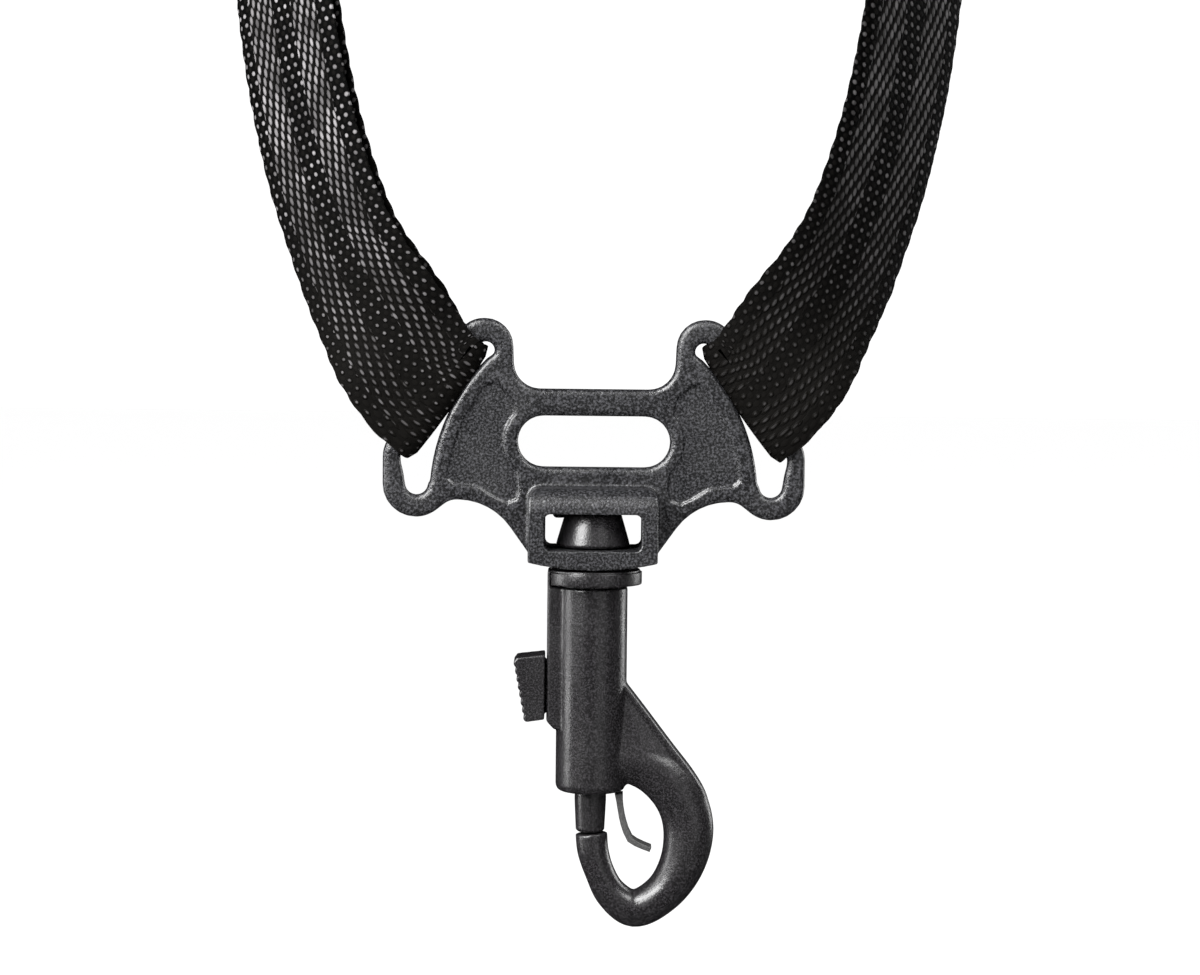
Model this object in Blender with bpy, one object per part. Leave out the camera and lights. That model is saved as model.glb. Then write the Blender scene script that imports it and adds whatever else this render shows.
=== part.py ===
"""Saxophone neck strap: a webbing loop, a moulded yoke and a swivel snap hook.

The strap hangs as it is worn. +Z is up, the front faces -Y, and X runs across the chest. Shapes are
drawn in millimetres around the middle of the yoke's centre slot, and make_object() turns them into
metres from the point where the strap rests on the back of the neck. Run it in Blender 4.5.
"""

import math

import bmesh
import bpy
from mathutils import Vector

MM = 0.001
GAP = 0.3  # running clearance between touching pieces

# Webbing
WEB_WIDTH = 25.0
WEB_THICK = 1.5
PLY_STEP = WEB_THICK + GAP  # from one layer's middle to the next one's

# Yoke plate
PLATE_THICK = 3.0
PLATE_EDGE = 1.0  # edge rounding
BRIDGE_TOP = 9.45
SLOT_HALF_LENGTH = 13.7
SLOT_RADIUS = 4.59
EAR_CENTRE = (20.0, 16.9)
EAR_RADIUS = 5.15
LOBE_RADIUS = 6.0
RECESS_DEPTH = 0.5

# Strap fold on the yoke's side bar, right side
FOLD_IN = (18.7, 16.65)
FOLD_OUT = (32.95, -3.8)
FOLD_RADIUS = PLATE_THICK / 2 + GAP + WEB_THICK / 2
FOLD_WALL = 2.1  # from the fold's crease to the bar's face

# Swivel housing, part of the yoke
HOUSING_HALF_WIDTH = 11.65
HOUSING_HALF_DEPTH = 7.8
HOUSING_TOP = -8.1
HOUSING_BOTTOM = -22.7
HOUSING_BOW = 1.35
WINDOW_HALF_WIDTH = 8.7
WINDOW_TOP = -12.6
WINDOW_FLOOR = -19.15
STEM_RADIUS = 3.3

# Swivel stud and hook body
COLLAR_RADIUS = 8.9
COLLAR_TOP = HOUSING_BOTTOM - GAP
COLLAR_THICK = 2.9
TUBE_RADIUS = 6.35
TUBE_TOP = COLLAR_TOP - COLLAR_THICK - GAP
TUBE_BOTTOM = -63.4
BORE_RADIUS = 4.5
BORE_FLOOR = -59.0
PLUG_LENGTH = 1.8
RAIL_FACE = -8.1
RAIL_HALF_DEPTH = 3.3
RAIL_BOTTOM = -50.7
RAIL_SLOT_HALF = 1.5
RAIL_SLOT_BOTTOM = -49.4

# Latch bolt, thumb tab and spring
BOLT_RADIUS = 2.86
BOLT_TIP = -70.8
PISTON_BOTTOM = -51.0
PISTON_TOP = -38.6
SPIGOT_RADIUS = 1.9
SPIGOT_LENGTH = 2.0
TAB_HALF_DEPTH = 3.9
TAB_RIBS = 8
SPRING_RADIUS = 3.2
SPRING_WIRE = 0.5
SPRING_TURNS = 5

# Ring tongue
TONGUE_HALF_DEPTH = 2.2
TONGUE_THICK = 1.1

# Half of the strap's way, from the right fold up to the back of the neck. Each row has the middle of the
# webbing (x, y, z), how far its width leans below level, and how far its outer edge turns back, in degrees.
FOLD_LEAN = math.degrees(math.atan2(FOLD_IN[1] - FOLD_OUT[1], FOLD_OUT[0] - FOLD_IN[0]))
LEG = [
    (31.3, -2.55, 11.0, 46.0, 0.0),
    (34.1, -2.55, 15.0, 37.0, 0.0),
    (38.7, -1.4, 22.3, 32.0, 18.0),
    (42.6, 0.4, 28.8, 28.0, 29.0),
    (46.0, 2.5, 35.7, 25.0, 36.0),
    (51.0, 6.0, 49.6, 22.0, 39.0),
    (54.5, 9.5, 63.4, 22.0, 40.0),
]
STRAIGHT_FROM = Vector((57.0, 13.3, 77.2))
STRAIGHT_TO = Vector((71.8, 49.3, 184.0))
STRAIGHT_LEAN = 24.0
STRAIGHT_TURN = 40.0
STRAIGHT_EASE = 0.06  # share of the straight stretch at each end that blends into the curves
NECK = [
    (74.6, 60.0, 206.0, 30.0, 37.0),
    (75.0, 78.0, 229.0, 38.0, 32.0),
    (69.0, 101.0, 245.0, 49.0, 26.0),
    (54.0, 124.0, 254.0, 64.0, 20.0),
    (31.0, 139.0, 258.0, 79.0, 14.0),
    (0.0, 145.0, 259.0, 90.0, 9.0),
]
STEP = 4.0  # length of a webbing segment

# Slide adjuster, on the straight stretch of the left leg
SLIDE_AT = 0.56  # share of the straight stretch
SLIDE_HALF_HEIGHT = 11.2
SLIDE_BAR = 3.6
SLIDE_BAR_THICK = 2.0
SLIDE_RAIL = 3.2
SLIDE_SIDE_GAP = 0.6
RETURN_GAP = 2.6  # from the running layer's middle to the return layer's
CENTRE_BAR_THICK = 2.2
RETURN_TAIL = 32.0
RETURN_SHIFT = 0.8  # the back layer on the left lies this much nearer the outer edge
TAIL_SHIFT = 1.8  # and on the right

# Sewn ends
TAIL_PAST_STRAIGHT = 34.0  # the right end runs this far up the straight stretch
TACK_WIDTH = 21.0
TACK_HEIGHT = 2.4
TACK_THICK = 0.4

NECK_REST = Vector((0.0, NECK[-1][1] - WEB_THICK / 2, NECK[-1][2]))

BLACK_MOULDING = (0.022, 0.022, 0.024)
BLACK_WEBBING = (0.016, 0.015, 0.014)
BLACK_THREAD = (0.012, 0.012, 0.013)
SPRING_STEEL = (0.60, 0.60, 0.62)


# ---------------------------------------------------------------- helpers


def clear_scene():
    """Removes what the start-up file holds."""
    for item in list(bpy.data.objects):
        bpy.data.objects.remove(item)


def make_material(name, colour, roughness, metallic=0.0):
    """A Principled material."""
    material = bpy.data.materials.new(name)
    material.use_nodes = True
    shader = material.node_tree.nodes["Principled BSDF"]
    shader.inputs["Base Color"].default_value = (*colour, 1.0)
    shader.inputs["Roughness"].default_value = roughness
    shader.inputs["Metallic"].default_value = metallic
    return material


def make_object(name, shape, material=None):
    """Turns a bmesh in millimetres around the yoke into an object in metres around the neck rest."""
    bmesh.ops.translate(shape, verts=shape.verts, vec=-NECK_REST)
    bmesh.ops.scale(shape, verts=shape.verts, vec=(MM, MM, MM))
    bmesh.ops.recalc_face_normals(shape, faces=shape.faces)
    mesh = bpy.data.meshes.new(name)
    shape.to_mesh(mesh)
    shape.free()
    mesh.shade_smooth()
    mesh.set_sharp_from_angle(angle=math.radians(35))
    item = bpy.data.objects.new(name, mesh)
    bpy.context.scene.collection.objects.link(item)
    if material is not None:
        mesh.materials.append(material)
    return item


def combine(target, operation, *tools):
    """Joins tools to the target or cuts them from it. The tools themselves aren't pieces."""
    for tool in tools:
        modifier = target.modifiers.new(tool.name, "BOOLEAN")
        modifier.operation = operation
        modifier.solver = "EXACT"
        modifier.object = tool
        tool.hide_render = True
        tool.display_type = "WIRE"


def arc(centre, radius, start, end, count):
    """Points of an arc in the XZ plane, from one angle to another in degrees."""
    angles = [math.radians(start + (end - start) * i / count) for i in range(count + 1)]
    return [(centre[0] + radius * math.cos(a), centre[1] + radius * math.sin(a)) for a in angles]


def rounded(corners, steps=6):
    """Outline through corners (x, z, radius), with each corner rounded by an arc."""
    points = []
    for i, (x, z, radius) in enumerate(corners):
        here = Vector((x, z))
        before = (Vector(corners[i - 1][:2]) - here).normalized()
        after = (Vector(corners[(i + 1) % len(corners)][:2]) - here).normalized()
        if radius == 0:
            points.append((x, z))
            continue
        half = before.angle(after) / 2
        centre = here + (before + after).normalized() * (radius / math.sin(half))
        start = here + before * (radius / math.tan(half)) - centre
        end = here + after * (radius / math.tan(half)) - centre
        turn = start.angle_signed(end)
        for k in range(steps + 1):
            a = -turn * k / steps
            spun = Vector((
                start.x * math.cos(a) - start.y * math.sin(a),
                start.x * math.sin(a) + start.y * math.cos(a),
            ))
            points.append(tuple(centre + spun))
    return points


def mirrored(points):
    """The same outline on the other side of the middle."""
    return [(-x, z) for x, z in reversed(points)]


def skin(rings):
    """Closed solid through rings of equal length, with flat ends."""
    shape = bmesh.new()
    loops = [[shape.verts.new(p) for p in ring] for ring in rings]
    count = len(loops[0])
    for lower, upper in zip(loops, loops[1:]):
        for i in range(count):
            j = (i + 1) % count
            shape.faces.new((lower[i], lower[j], upper[j], upper[i]))
    shape.faces.new(loops[0])
    shape.faces.new(loops[-1])
    return shape


def prism(outline, low, high):
    """An XZ outline extruded along Y."""
    return skin([[(x, y, z) for x, z in outline] for y in (low, high)])


def block(low, high):
    """A box between two corners."""
    outline = [(low[0], low[2]), (high[0], low[2]), (high[0], high[2]), (low[0], high[2])]
    return prism(outline, low[1], high[1])


def turned(profile, sides=40):
    """A solid of revolution about Z. The profile is (radius, z) from bottom to top."""
    turn = [2 * math.pi * i / sides for i in range(sides)]
    return skin([[(r * math.cos(a), r * math.sin(a), z) for a in turn] for r, z in profile])


def inset(outline, distance):
    """The outline moved to its left by a distance."""
    moved = []
    for i, (x, z) in enumerate(outline):
        back = Vector(outline[i - 1])
        ahead = Vector(outline[(i + 1) % len(outline)])
        along = (ahead - back).normalized()
        moved.append((x - along.y * distance, z + along.x * distance))
    return moved


def rounded_plate(outline, holes, half, edge):
    """A plate with round edges. The outline runs anticlockwise in XZ, and the holes run clockwise."""
    levels = [(edge * (1 - math.cos(math.radians(a))), half - edge * (1 - math.sin(math.radians(a))))
              for a in (0, 45, 90)]
    profile = [(d, -y) for d, y in reversed(levels)] + levels
    shape = bmesh.new()
    rims = {0: [], len(profile) - 1: []}
    for loop in (outline, *holes):
        rings = [[shape.verts.new((x, y, z)) for x, z in inset(loop, d)] for d, y in profile]
        for lower, upper in zip(rings, rings[1:]):
            for i in range(len(loop)):
                j = (i + 1) % len(loop)
                shape.faces.new((lower[i], lower[j], upper[j], upper[i]))
        for level in rims:
            ring = rings[level]
            rims[level] += [shape.edges.get((ring[i - 1], ring[i])) for i in range(len(ring))]
    for edges in rims.values():
        bmesh.ops.triangle_fill(shape, edges=edges, use_beauty=True)
    return shape


def slope(before, after):
    """Slope at a row: the mean for places. A size or an angle doesn't swing past its rows."""
    mean = (before + after) / 2
    return Vector([m if i < 3 or b * a > 0 else 0.0 for i, (m, b, a) in enumerate(zip(mean, before, after))])


def spline(rows, step):
    """Points on a smooth curve through rows of numbers, about one step apart."""
    rows = [Vector(row) for row in rows]
    points = []
    for i in range(len(rows) - 1):
        a = rows[max(i - 1, 0)]
        b, c = rows[i], rows[i + 1]
        d = rows[min(i + 2, len(rows) - 1)]
        span = Vector(c[:3]) - Vector(b[:3])
        count = max(1, round(span.length / step))
        before = max((Vector(b[:3]) - Vector(a[:3])).length, 1e-6)
        after = max((Vector(d[:3]) - Vector(c[:3])).length, 1e-6)
        here = (c - b) / span.length
        leave = slope((b - a) / before if i else here, here) * span.length
        arrive = slope(here, (d - c) / after if i < len(rows) - 2 else here) * span.length
        for k in range(count):
            t = k / count
            h = (2 * t**3 - 3 * t**2 + 1, t**3 - 2 * t**2 + t, -2 * t**3 + 3 * t**2, t**3 - t**2)
            points.append(b * h[0] + leave * h[1] + c * h[2] + arrive * h[3])
    points.append(rows[-1])
    return points


# ---------------------------------------------------------------- the strap's way


def fold_axes():
    """The fold's width direction and the direction away from the yoke, right side."""
    width = Vector((FOLD_OUT[0] - FOLD_IN[0], 0, FOLD_OUT[1] - FOLD_IN[1])).normalized()
    return width, Vector((-width.z, 0, width.x))


def fold_frames(start, end, count):
    """Webbing round the right side bar, from one angle to another. -90 is in front and 90 behind."""
    width, outward = fold_axes()
    crease = Vector(((FOLD_IN[0] + FOLD_OUT[0]) / 2, 0, (FOLD_IN[1] + FOLD_OUT[1]) / 2))
    middle = crease + outward * (FOLD_RADIUS + WEB_THICK / 2)
    frames = []
    for i in range(count + 1):
        a = math.radians(start + (end - start) * i / count)
        arm = Vector((0, math.sin(a), 0)) - outward * math.cos(a)
        frames.append((middle + arm * FOLD_RADIUS, width, -arm))
    return frames


def leg_rows():
    """The rows from just past the fold to the back of the neck."""
    start = fold_frames(-90, 0, 2)[0][0]
    straight = [
        (*STRAIGHT_FROM.lerp(STRAIGHT_TO, t), STRAIGHT_LEAN, STRAIGHT_TURN)
        for t in (0, STRAIGHT_EASE, 1 - STRAIGHT_EASE, 1)
    ]
    return [(*start, FOLD_LEAN, 0.0), *LEG, *straight, *NECK]


def square(along, lean, turn):
    """Width and inward directions square to the way, from a lean and a turn in degrees."""
    lean, turn = math.radians(lean), math.radians(turn)
    width = Vector((math.cos(turn) * math.cos(lean), math.sin(turn), -math.cos(turn) * math.sin(lean)))
    inward = along.cross(width).normalized()
    return inward.cross(along).normalized(), inward


def leg_frames():
    """Middle, width direction and inward normal of the front layer on the right, from the fold up."""
    rows = spline(leg_rows(), STEP)
    frames = []
    for i, row in enumerate(rows):
        if i == 0:
            along = fold_axes()[1]
        elif i == len(rows) - 1:
            along = Vector((-1, 0, 0))
        else:
            along = Vector(rows[i + 1][:3]) - Vector(rows[i - 1][:3])
        frames.append((Vector(row[:3]), *square(along, row[3], row[4])))
    return frames


def behind(frames, distance, shift=0.0):
    """A layer lying inside another one. distance(length) is how far in, at a length from the fold."""
    moved, length = [], 0.0
    for i, (middle, width, normal) in enumerate(frames):
        if i:
            length += (middle - frames[i - 1][0]).length
        ease = min(length / 30, 1)
        moved.append((middle + normal * distance(length) + width * shift * ease, width, -normal))
    return moved


def closing(final):
    """Distance of a back layer from the front one: the bar lies between them, then they close up."""
    def distance(length):
        t = min(max((length - 5) / 28, 0), 1)
        return 2 * FOLD_RADIUS + (final - 2 * FOLD_RADIUS) * t * t * (3 - 2 * t)
    return distance


def until(frames, point):
    """The frames up to the height of a point."""
    return [f for f in frames if f[0].z <= point.z]


def flip(frames):
    """The same frames on the other leg."""
    def side(v):
        return Vector((-v.x, v.y, v.z))
    return [(side(m), side(w), side(n)) for m, w, n in frames]


def ribbon(frames):
    """A strip of webbing along frames of middle, width direction and normal."""
    rings = []
    for middle, width, normal in frames:
        across, up = width * WEB_WIDTH / 2, normal * WEB_THICK / 2
        rings.append([middle - across - up, middle + across - up, middle + across + up, middle - across + up])
    return skin(rings)


def straight_frame(distance_mm, side):
    """Middle, along, width and inward directions on the straight stretch, at a length from its start."""
    along = (STRAIGHT_TO - STRAIGHT_FROM).normalized()
    width, inward = square(along, STRAIGHT_LEAN, STRAIGHT_TURN)
    middle = STRAIGHT_FROM + along * distance_mm
    axes = [Vector((v.x * side, v.y, v.z)) for v in (middle, along, width, inward)]
    return axes


def slide_length():
    """Where the slide stands on the straight stretch, as a length from its start."""
    return (STRAIGHT_TO - STRAIGHT_FROM).length * SLIDE_AT


def placed_block(frame, along, width, inward):
    """A box given by its reach along the strap, across it and inward of it, at a frame."""
    middle, u, w, n = frame
    rings = []
    for a in along:
        rings.append([middle + u * a + w * b + n * c
                      for b, c in ((width[0], inward[0]), (width[1], inward[0]),
                                   (width[1], inward[1]), (width[0], inward[1]))])
    return skin(rings)


# ---------------------------------------------------------------- webbing


def build_webbing(material):
    """The strap: sewn end behind the right leg, right fold, neck, left leg, left fold."""
    leg = leg_frames()
    end = straight_frame(TAIL_PAST_STRAIGHT, 1)[0]
    tail = behind(until(leg, end), closing(PLY_STEP), TAIL_SHIFT)
    way = list(reversed(tail))[:-1]
    way += fold_frames(90, -90, 10)[:-1]
    way += leg
    way += list(reversed(flip(leg)))[1:-1]
    way += flip(fold_frames(-90, 88, 10))
    return make_object("webbing", ribbon(way), material)


def build_return(material):
    """The doubled run on the left: from behind the left bar up to the slide, round its bar and down again."""
    middle, u, w, n = straight_frame(slide_length(), 1)
    turn_radius = (CENTRE_BAR_THICK + 2 * GAP + WEB_THICK) / 2
    shift = w * RETURN_SHIFT
    way = behind(until(leg_frames(), middle - u * 4), closing(RETURN_GAP), RETURN_SHIFT)
    way[0] = (way[0][0] + Vector((0.12, 0, 0.08)), way[0][1], way[0][2])
    centre = middle + n * (RETURN_GAP + turn_radius) + shift
    for i in range(9):
        a = math.pi * i / 8
        arm = -n * math.cos(a) + u * math.sin(a)
        way.append((centre + arm * turn_radius, w, arm))
    last = RETURN_GAP + 2 * turn_radius
    for i in range(1, 9):
        t = i / 8
        ease = min(t * RETURN_TAIL / 15, 1)
        depth = last + (RETURN_GAP + PLY_STEP - last) * ease * ease * (3 - 2 * ease)
        way.append((middle - u * t * RETURN_TAIL + n * depth + shift, w, n))
    return make_object("webbing_return", ribbon(flip(way)), material)


def build_tacks(material):
    """Bar tacks: a needle thread on one face and a bobbin thread on the other, at both sewn ends."""
    half = TACK_WIDTH / 2
    reach = WEB_THICK / 2 + GAP
    middle, u, w, n = straight_frame(TAIL_PAST_STRAIGHT, 1)
    right = (middle + w * TAIL_SHIFT / 2, u, w, n)
    for name, drop in (("upper", 6.0), ("lower", 20.0)):
        along = (-drop - TACK_HEIGHT / 2, -drop + TACK_HEIGHT / 2)
        front = placed_block(right, along, (-half, half), (-reach - TACK_THICK, -reach))
        make_object(f"end_tack_{name}_needle_thread", front, material)
        deep = PLY_STEP + reach
        back = placed_block(right, along, (-half, half), (deep, deep + TACK_THICK))
        make_object(f"end_tack_{name}_bobbin_thread", back, material)
    left = straight_frame(slide_length(), -1)
    middle, u, w, n = left
    left = (middle + w * RETURN_SHIFT / 2, u, w, n)
    for name, drop in (("upper", 18.0), ("lower", 28.0)):
        along = (-drop - TACK_HEIGHT / 2, -drop + TACK_HEIGHT / 2)
        near = RETURN_GAP - reach
        front = placed_block(left, along, (-half, half), (near - TACK_THICK, near))
        make_object(f"slide_tack_{name}_needle_thread", front, material)
        deep = RETURN_GAP + PLY_STEP + reach
        back = placed_block(left, along, (-half, half), (deep, deep + TACK_THICK))
        make_object(f"slide_tack_{name}_bobbin_thread", back, material)


def build_slide(material):
    """Three-bar slide: two outer bars in front of the strap, and a centre bar behind it."""
    frame = straight_frame(slide_length(), -1)
    inner = WEB_WIDTH / 2 + SLIDE_SIDE_GAP + RETURN_SHIFT
    outer = inner + SLIDE_RAIL
    front = -(WEB_THICK / 2 + GAP)
    top = front - SLIDE_BAR_THICK
    bar_near = RETURN_GAP + WEB_THICK / 2 + GAP
    bar_far = bar_near + CENTRE_BAR_THICK
    high = SLIDE_HALF_HEIGHT
    proud = 0.3
    rails = [placed_block(frame, (-high - proud, high + proud), reach, (top - proud, bar_far + proud))
             for reach in ((-outer, -inner), (inner, outer))]
    slide = make_object("slide_adjuster", rails[0], material)
    overlap = 1.0
    reach = (-inner - overlap, inner + overlap)
    bars = [
        ("slide_rail", rails[1]),
        ("slide_upper_bar", placed_block(frame, (high - SLIDE_BAR, high), reach, (top, front))),
        ("slide_lower_bar", placed_block(frame, (-high, -high + SLIDE_BAR), reach, (top, front))),
        ("slide_centre_bar", placed_block(frame, (-2.6, 0.7), reach, (bar_near, bar_far))),
    ]
    combine(slide, "UNION", *[make_object(name, shape) for name, shape in bars])
    return slide


# ---------------------------------------------------------------- yoke


def yoke_half_outline():
    """Right half of the yoke's outline, from the housing's corner round to the bridge, anticlockwise."""
    corners = [
        (HOUSING_HALF_WIDTH - 2.0, HOUSING_BOTTOM + HOUSING_BOW + 0.7, 0),
        (HOUSING_HALF_WIDTH - 0.3, HOUSING_BOTTOM + HOUSING_BOW + 0.7, 0),
        (18.4, -10.8, 11.6),
        (25.85, -10.7, 3.6),
        (29.93, EAR_CENTRE[1] - 30.8, LOBE_RADIUS),
        (38.0, EAR_CENTRE[1] - 30.8, LOBE_RADIUS),
        (38.0, -1.3, LOBE_RADIUS),
        (22.76, EAR_CENTRE[1] + EAR_RADIUS, EAR_RADIUS - 0.05),
        (EAR_CENTRE[0] - EAR_RADIUS, EAR_CENTRE[1] + EAR_RADIUS, EAR_RADIUS - 0.05),
        (14.35, BRIDGE_TOP, 4.7),
        (5.0, BRIDGE_TOP, 0),
    ]
    return rounded(corners)


def side_slot():
    """Right side slot, anticlockwise: a straight face on the bar and a bowed face on the wing."""
    width = Vector((FOLD_OUT[0] - FOLD_IN[0], FOLD_OUT[1] - FOLD_IN[1])).normalized()
    outward = Vector((-width.y, width.x))
    upper_radius, lower_radius = 1.6, 2.1
    upper = Vector(FOLD_IN) + outward * (FOLD_WALL - upper_radius) + width * 0.83
    lower = Vector((31.9, -7.8))
    bar_foot = Vector(FOLD_OUT) + outward * FOLD_WALL + width * 0.3
    bar_angle = math.degrees(math.atan2(outward.y, outward.x))
    wing = arc((-5.74, -10.0), 35.3, 4.2, 44.5, 12)
    return (
        arc(lower, lower_radius, 180, 360, 8)
        + [(34.3, -5.9), (34.72, -4.2), tuple(bar_foot)]
        + arc(upper, upper_radius, bar_angle, 200, 7)
        + list(reversed(wing))
    )


def recess_outline():
    """Sunken panel on the right wing."""
    wing = arc((-5.74, -10.0), 32.4, 5.5, 39.0, 8)
    slot_end = arc((SLOT_HALF_LENGTH - SLOT_RADIUS, 0), 7.0, 44, -50, 8)
    foot = [(25.2, -7.9), (20.8, -8.4), (17.6, -10.4), (15.6, -11.3), (13.8, -10.6), (13.3, -9.0)]
    head = [(14.3, 6.6), (15.0, 8.1), (17.6, 10.6)]
    return foot[::-1] + wing + head[::-1] + slot_end


def build_yoke(material):
    """The moulded yoke: plate with three slots, sunken panels and the swivel housing."""
    half = yoke_half_outline()
    outline = half + mirrored(half)
    straight = SLOT_HALF_LENGTH - SLOT_RADIUS
    centre_slot = arc((straight, 0), SLOT_RADIUS, -90, 90, 12) + arc((-straight, 0), SLOT_RADIUS, 90, 270, 12)
    right = side_slot()
    holes = [list(reversed(loop)) for loop in (centre_slot, right, mirrored(right))]
    plate = rounded_plate(outline, holes, PLATE_THICK / 2, PLATE_EDGE)
    yoke = make_object("yoke", plate, material)

    width, depth = HOUSING_HALF_WIDTH, HOUSING_HALF_DEPTH
    bow_radius = (width**2 + HOUSING_BOW**2) / (2 * HOUSING_BOW)
    bow = math.degrees(math.asin(width / bow_radius))
    face = arc((0, HOUSING_BOTTOM + bow_radius), bow_radius, -90 - bow, -90 + bow, 10)
    corner = 2.2
    face += arc((width - corner, HOUSING_TOP - corner), corner, 0, 90, 5)
    face += arc((corner - width, HOUSING_TOP - corner), corner, 90, 180, 5)
    housing = make_object("housing_face", prism(face, -depth, depth))
    shoulder = 4.2
    side = [(-depth, HOUSING_BOTTOM - 1), (depth, HOUSING_BOTTOM - 1)]
    side += arc((depth - shoulder, HOUSING_TOP - shoulder), shoulder, 0, 90, 6)
    side += arc((shoulder - depth, HOUSING_TOP - shoulder), shoulder, 90, 180, 6)
    block_x = width + 1
    profile = skin([[(x, y, z) for y, z in side] for x in (-block_x, block_x)])
    combine(housing, "INTERSECT", make_object("housing_side", profile))
    window = rounded([
        (-WINDOW_HALF_WIDTH, WINDOW_FLOOR, 1.0), (WINDOW_HALF_WIDTH, WINDOW_FLOOR, 1.0),
        (WINDOW_HALF_WIDTH, WINDOW_TOP, 1.0), (-WINDOW_HALF_WIDTH, WINDOW_TOP, 1.0),
    ], 4)
    window_cut = make_object("housing_window", prism(window, -depth - 1, depth + 1))
    bore = make_object("housing_bore", turned([
        (STEM_RADIUS + GAP, HOUSING_BOTTOM - 1), (STEM_RADIUS + GAP, WINDOW_FLOOR + 1),
    ]))
    panels = []
    for side_name, panel in (("right", recess_outline()), ("left", mirrored(recess_outline()))):
        for face_name, sign in (("front", -1), ("back", 1)):
            y = sorted((sign * (PLATE_THICK / 2 - RECESS_DEPTH), sign * (PLATE_THICK / 2 + 1)))
            panels.append(make_object(f"panel_{side_name}_{face_name}", prism(panel, *y)))
    combine(yoke, "DIFFERENCE", *panels)
    combine(yoke, "UNION", housing)
    combine(yoke, "DIFFERENCE", window_cut, bore)
    return yoke


# ---------------------------------------------------------------- snap hook


def build_stud(material):
    """Swivel stud: arrowhead, stem, collar with a flat for the rail, and the plug that closes the tube."""
    head_bottom = WINDOW_FLOOR + GAP
    collar_bottom = COLLAR_TOP - COLLAR_THICK
    plug_radius = BORE_RADIUS - GAP
    profile = [
        (plug_radius - 0.4, collar_bottom - PLUG_LENGTH),
        (plug_radius, collar_bottom - PLUG_LENGTH + 0.4),
        (plug_radius, collar_bottom),
        (COLLAR_RADIUS - 0.4, collar_bottom),
        (COLLAR_RADIUS, collar_bottom + 0.4),
        (COLLAR_RADIUS, COLLAR_TOP - 0.2),
        (COLLAR_RADIUS - 0.2, COLLAR_TOP),
        (STEM_RADIUS, COLLAR_TOP),
        (STEM_RADIUS, head_bottom),
        (6.3, head_bottom),
        (6.55, head_bottom + 0.4),
        (5.1, WINDOW_TOP - GAP - 0.4),
        (4.6, WINDOW_TOP - GAP),
    ]
    stud = make_object("swivel_stud", turned(profile), material)
    flat = RAIL_FACE + 1.0 - GAP + 0.4
    cut = block((-COLLAR_RADIUS - 1, -COLLAR_RADIUS, collar_bottom - 0.1), (flat, COLLAR_RADIUS, COLLAR_TOP + 0.1))
    combine(stud, "DIFFERENCE", make_object("collar_flat", cut))
    return stud


ARM = [  # middle (x, z), thickness in the plane of the hook, depth along Y; from the tip round to the tube
    (0.25, -71.1, 5.8, 5.8),
    (0.55, -74.2, 5.7, 6.0),
    (1.75, -78.05, 5.4, 6.2),
    (4.0, -82.2, 5.9, 6.5),
    (8.0, -84.85, 6.8, 6.9),
    (13.2, -82.1, 7.2, 7.3),
    (16.6, -77.0, 8.2, 7.7),
    (17.85, -70.9, 9.1, 8.0),
    (17.1, -66.5, 9.2, 8.0),
    (14.7, -62.3, 9.2, 8.0),
    (10.8, -59.0, 9.0, 7.9),
    (6.0, -57.2, 9.0, 7.8),
    (1.5, -56.8, 9.0, 7.8),
]
SEAT = (8.0, -81.75, 1.1)  # flat at the bottom of the eye: middle x, height, half length
RIM_FROM = Vector((5.6, -42.2))
RIM_TO = Vector((19.0, -60.0))


def build_arm():
    """The hooked arm, an oval section swept from the tip to the tube."""
    rows = spline([(x, 0, z, w, d) for x, z, w, d in ARM], 2.0)
    rings = []
    for i, row in enumerate(rows):
        ahead = Vector(rows[min(i + 1, len(rows) - 1)][:3])
        along = (ahead - Vector(rows[max(i - 1, 0)][:3])).normalized()
        if i == 0:
            along = Vector((0, 0, -1))
        side = Vector((along.z, 0, -along.x))
        ring = []
        for k in range(14):
            a = 2 * math.pi * k / 14
            ring.append(Vector(row[:3]) + side * math.cos(a) * row[3] / 2 + Vector((0, math.sin(a) * row[4] / 2, 0)))
        rings.append(ring)
    return skin(rings)


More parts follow.
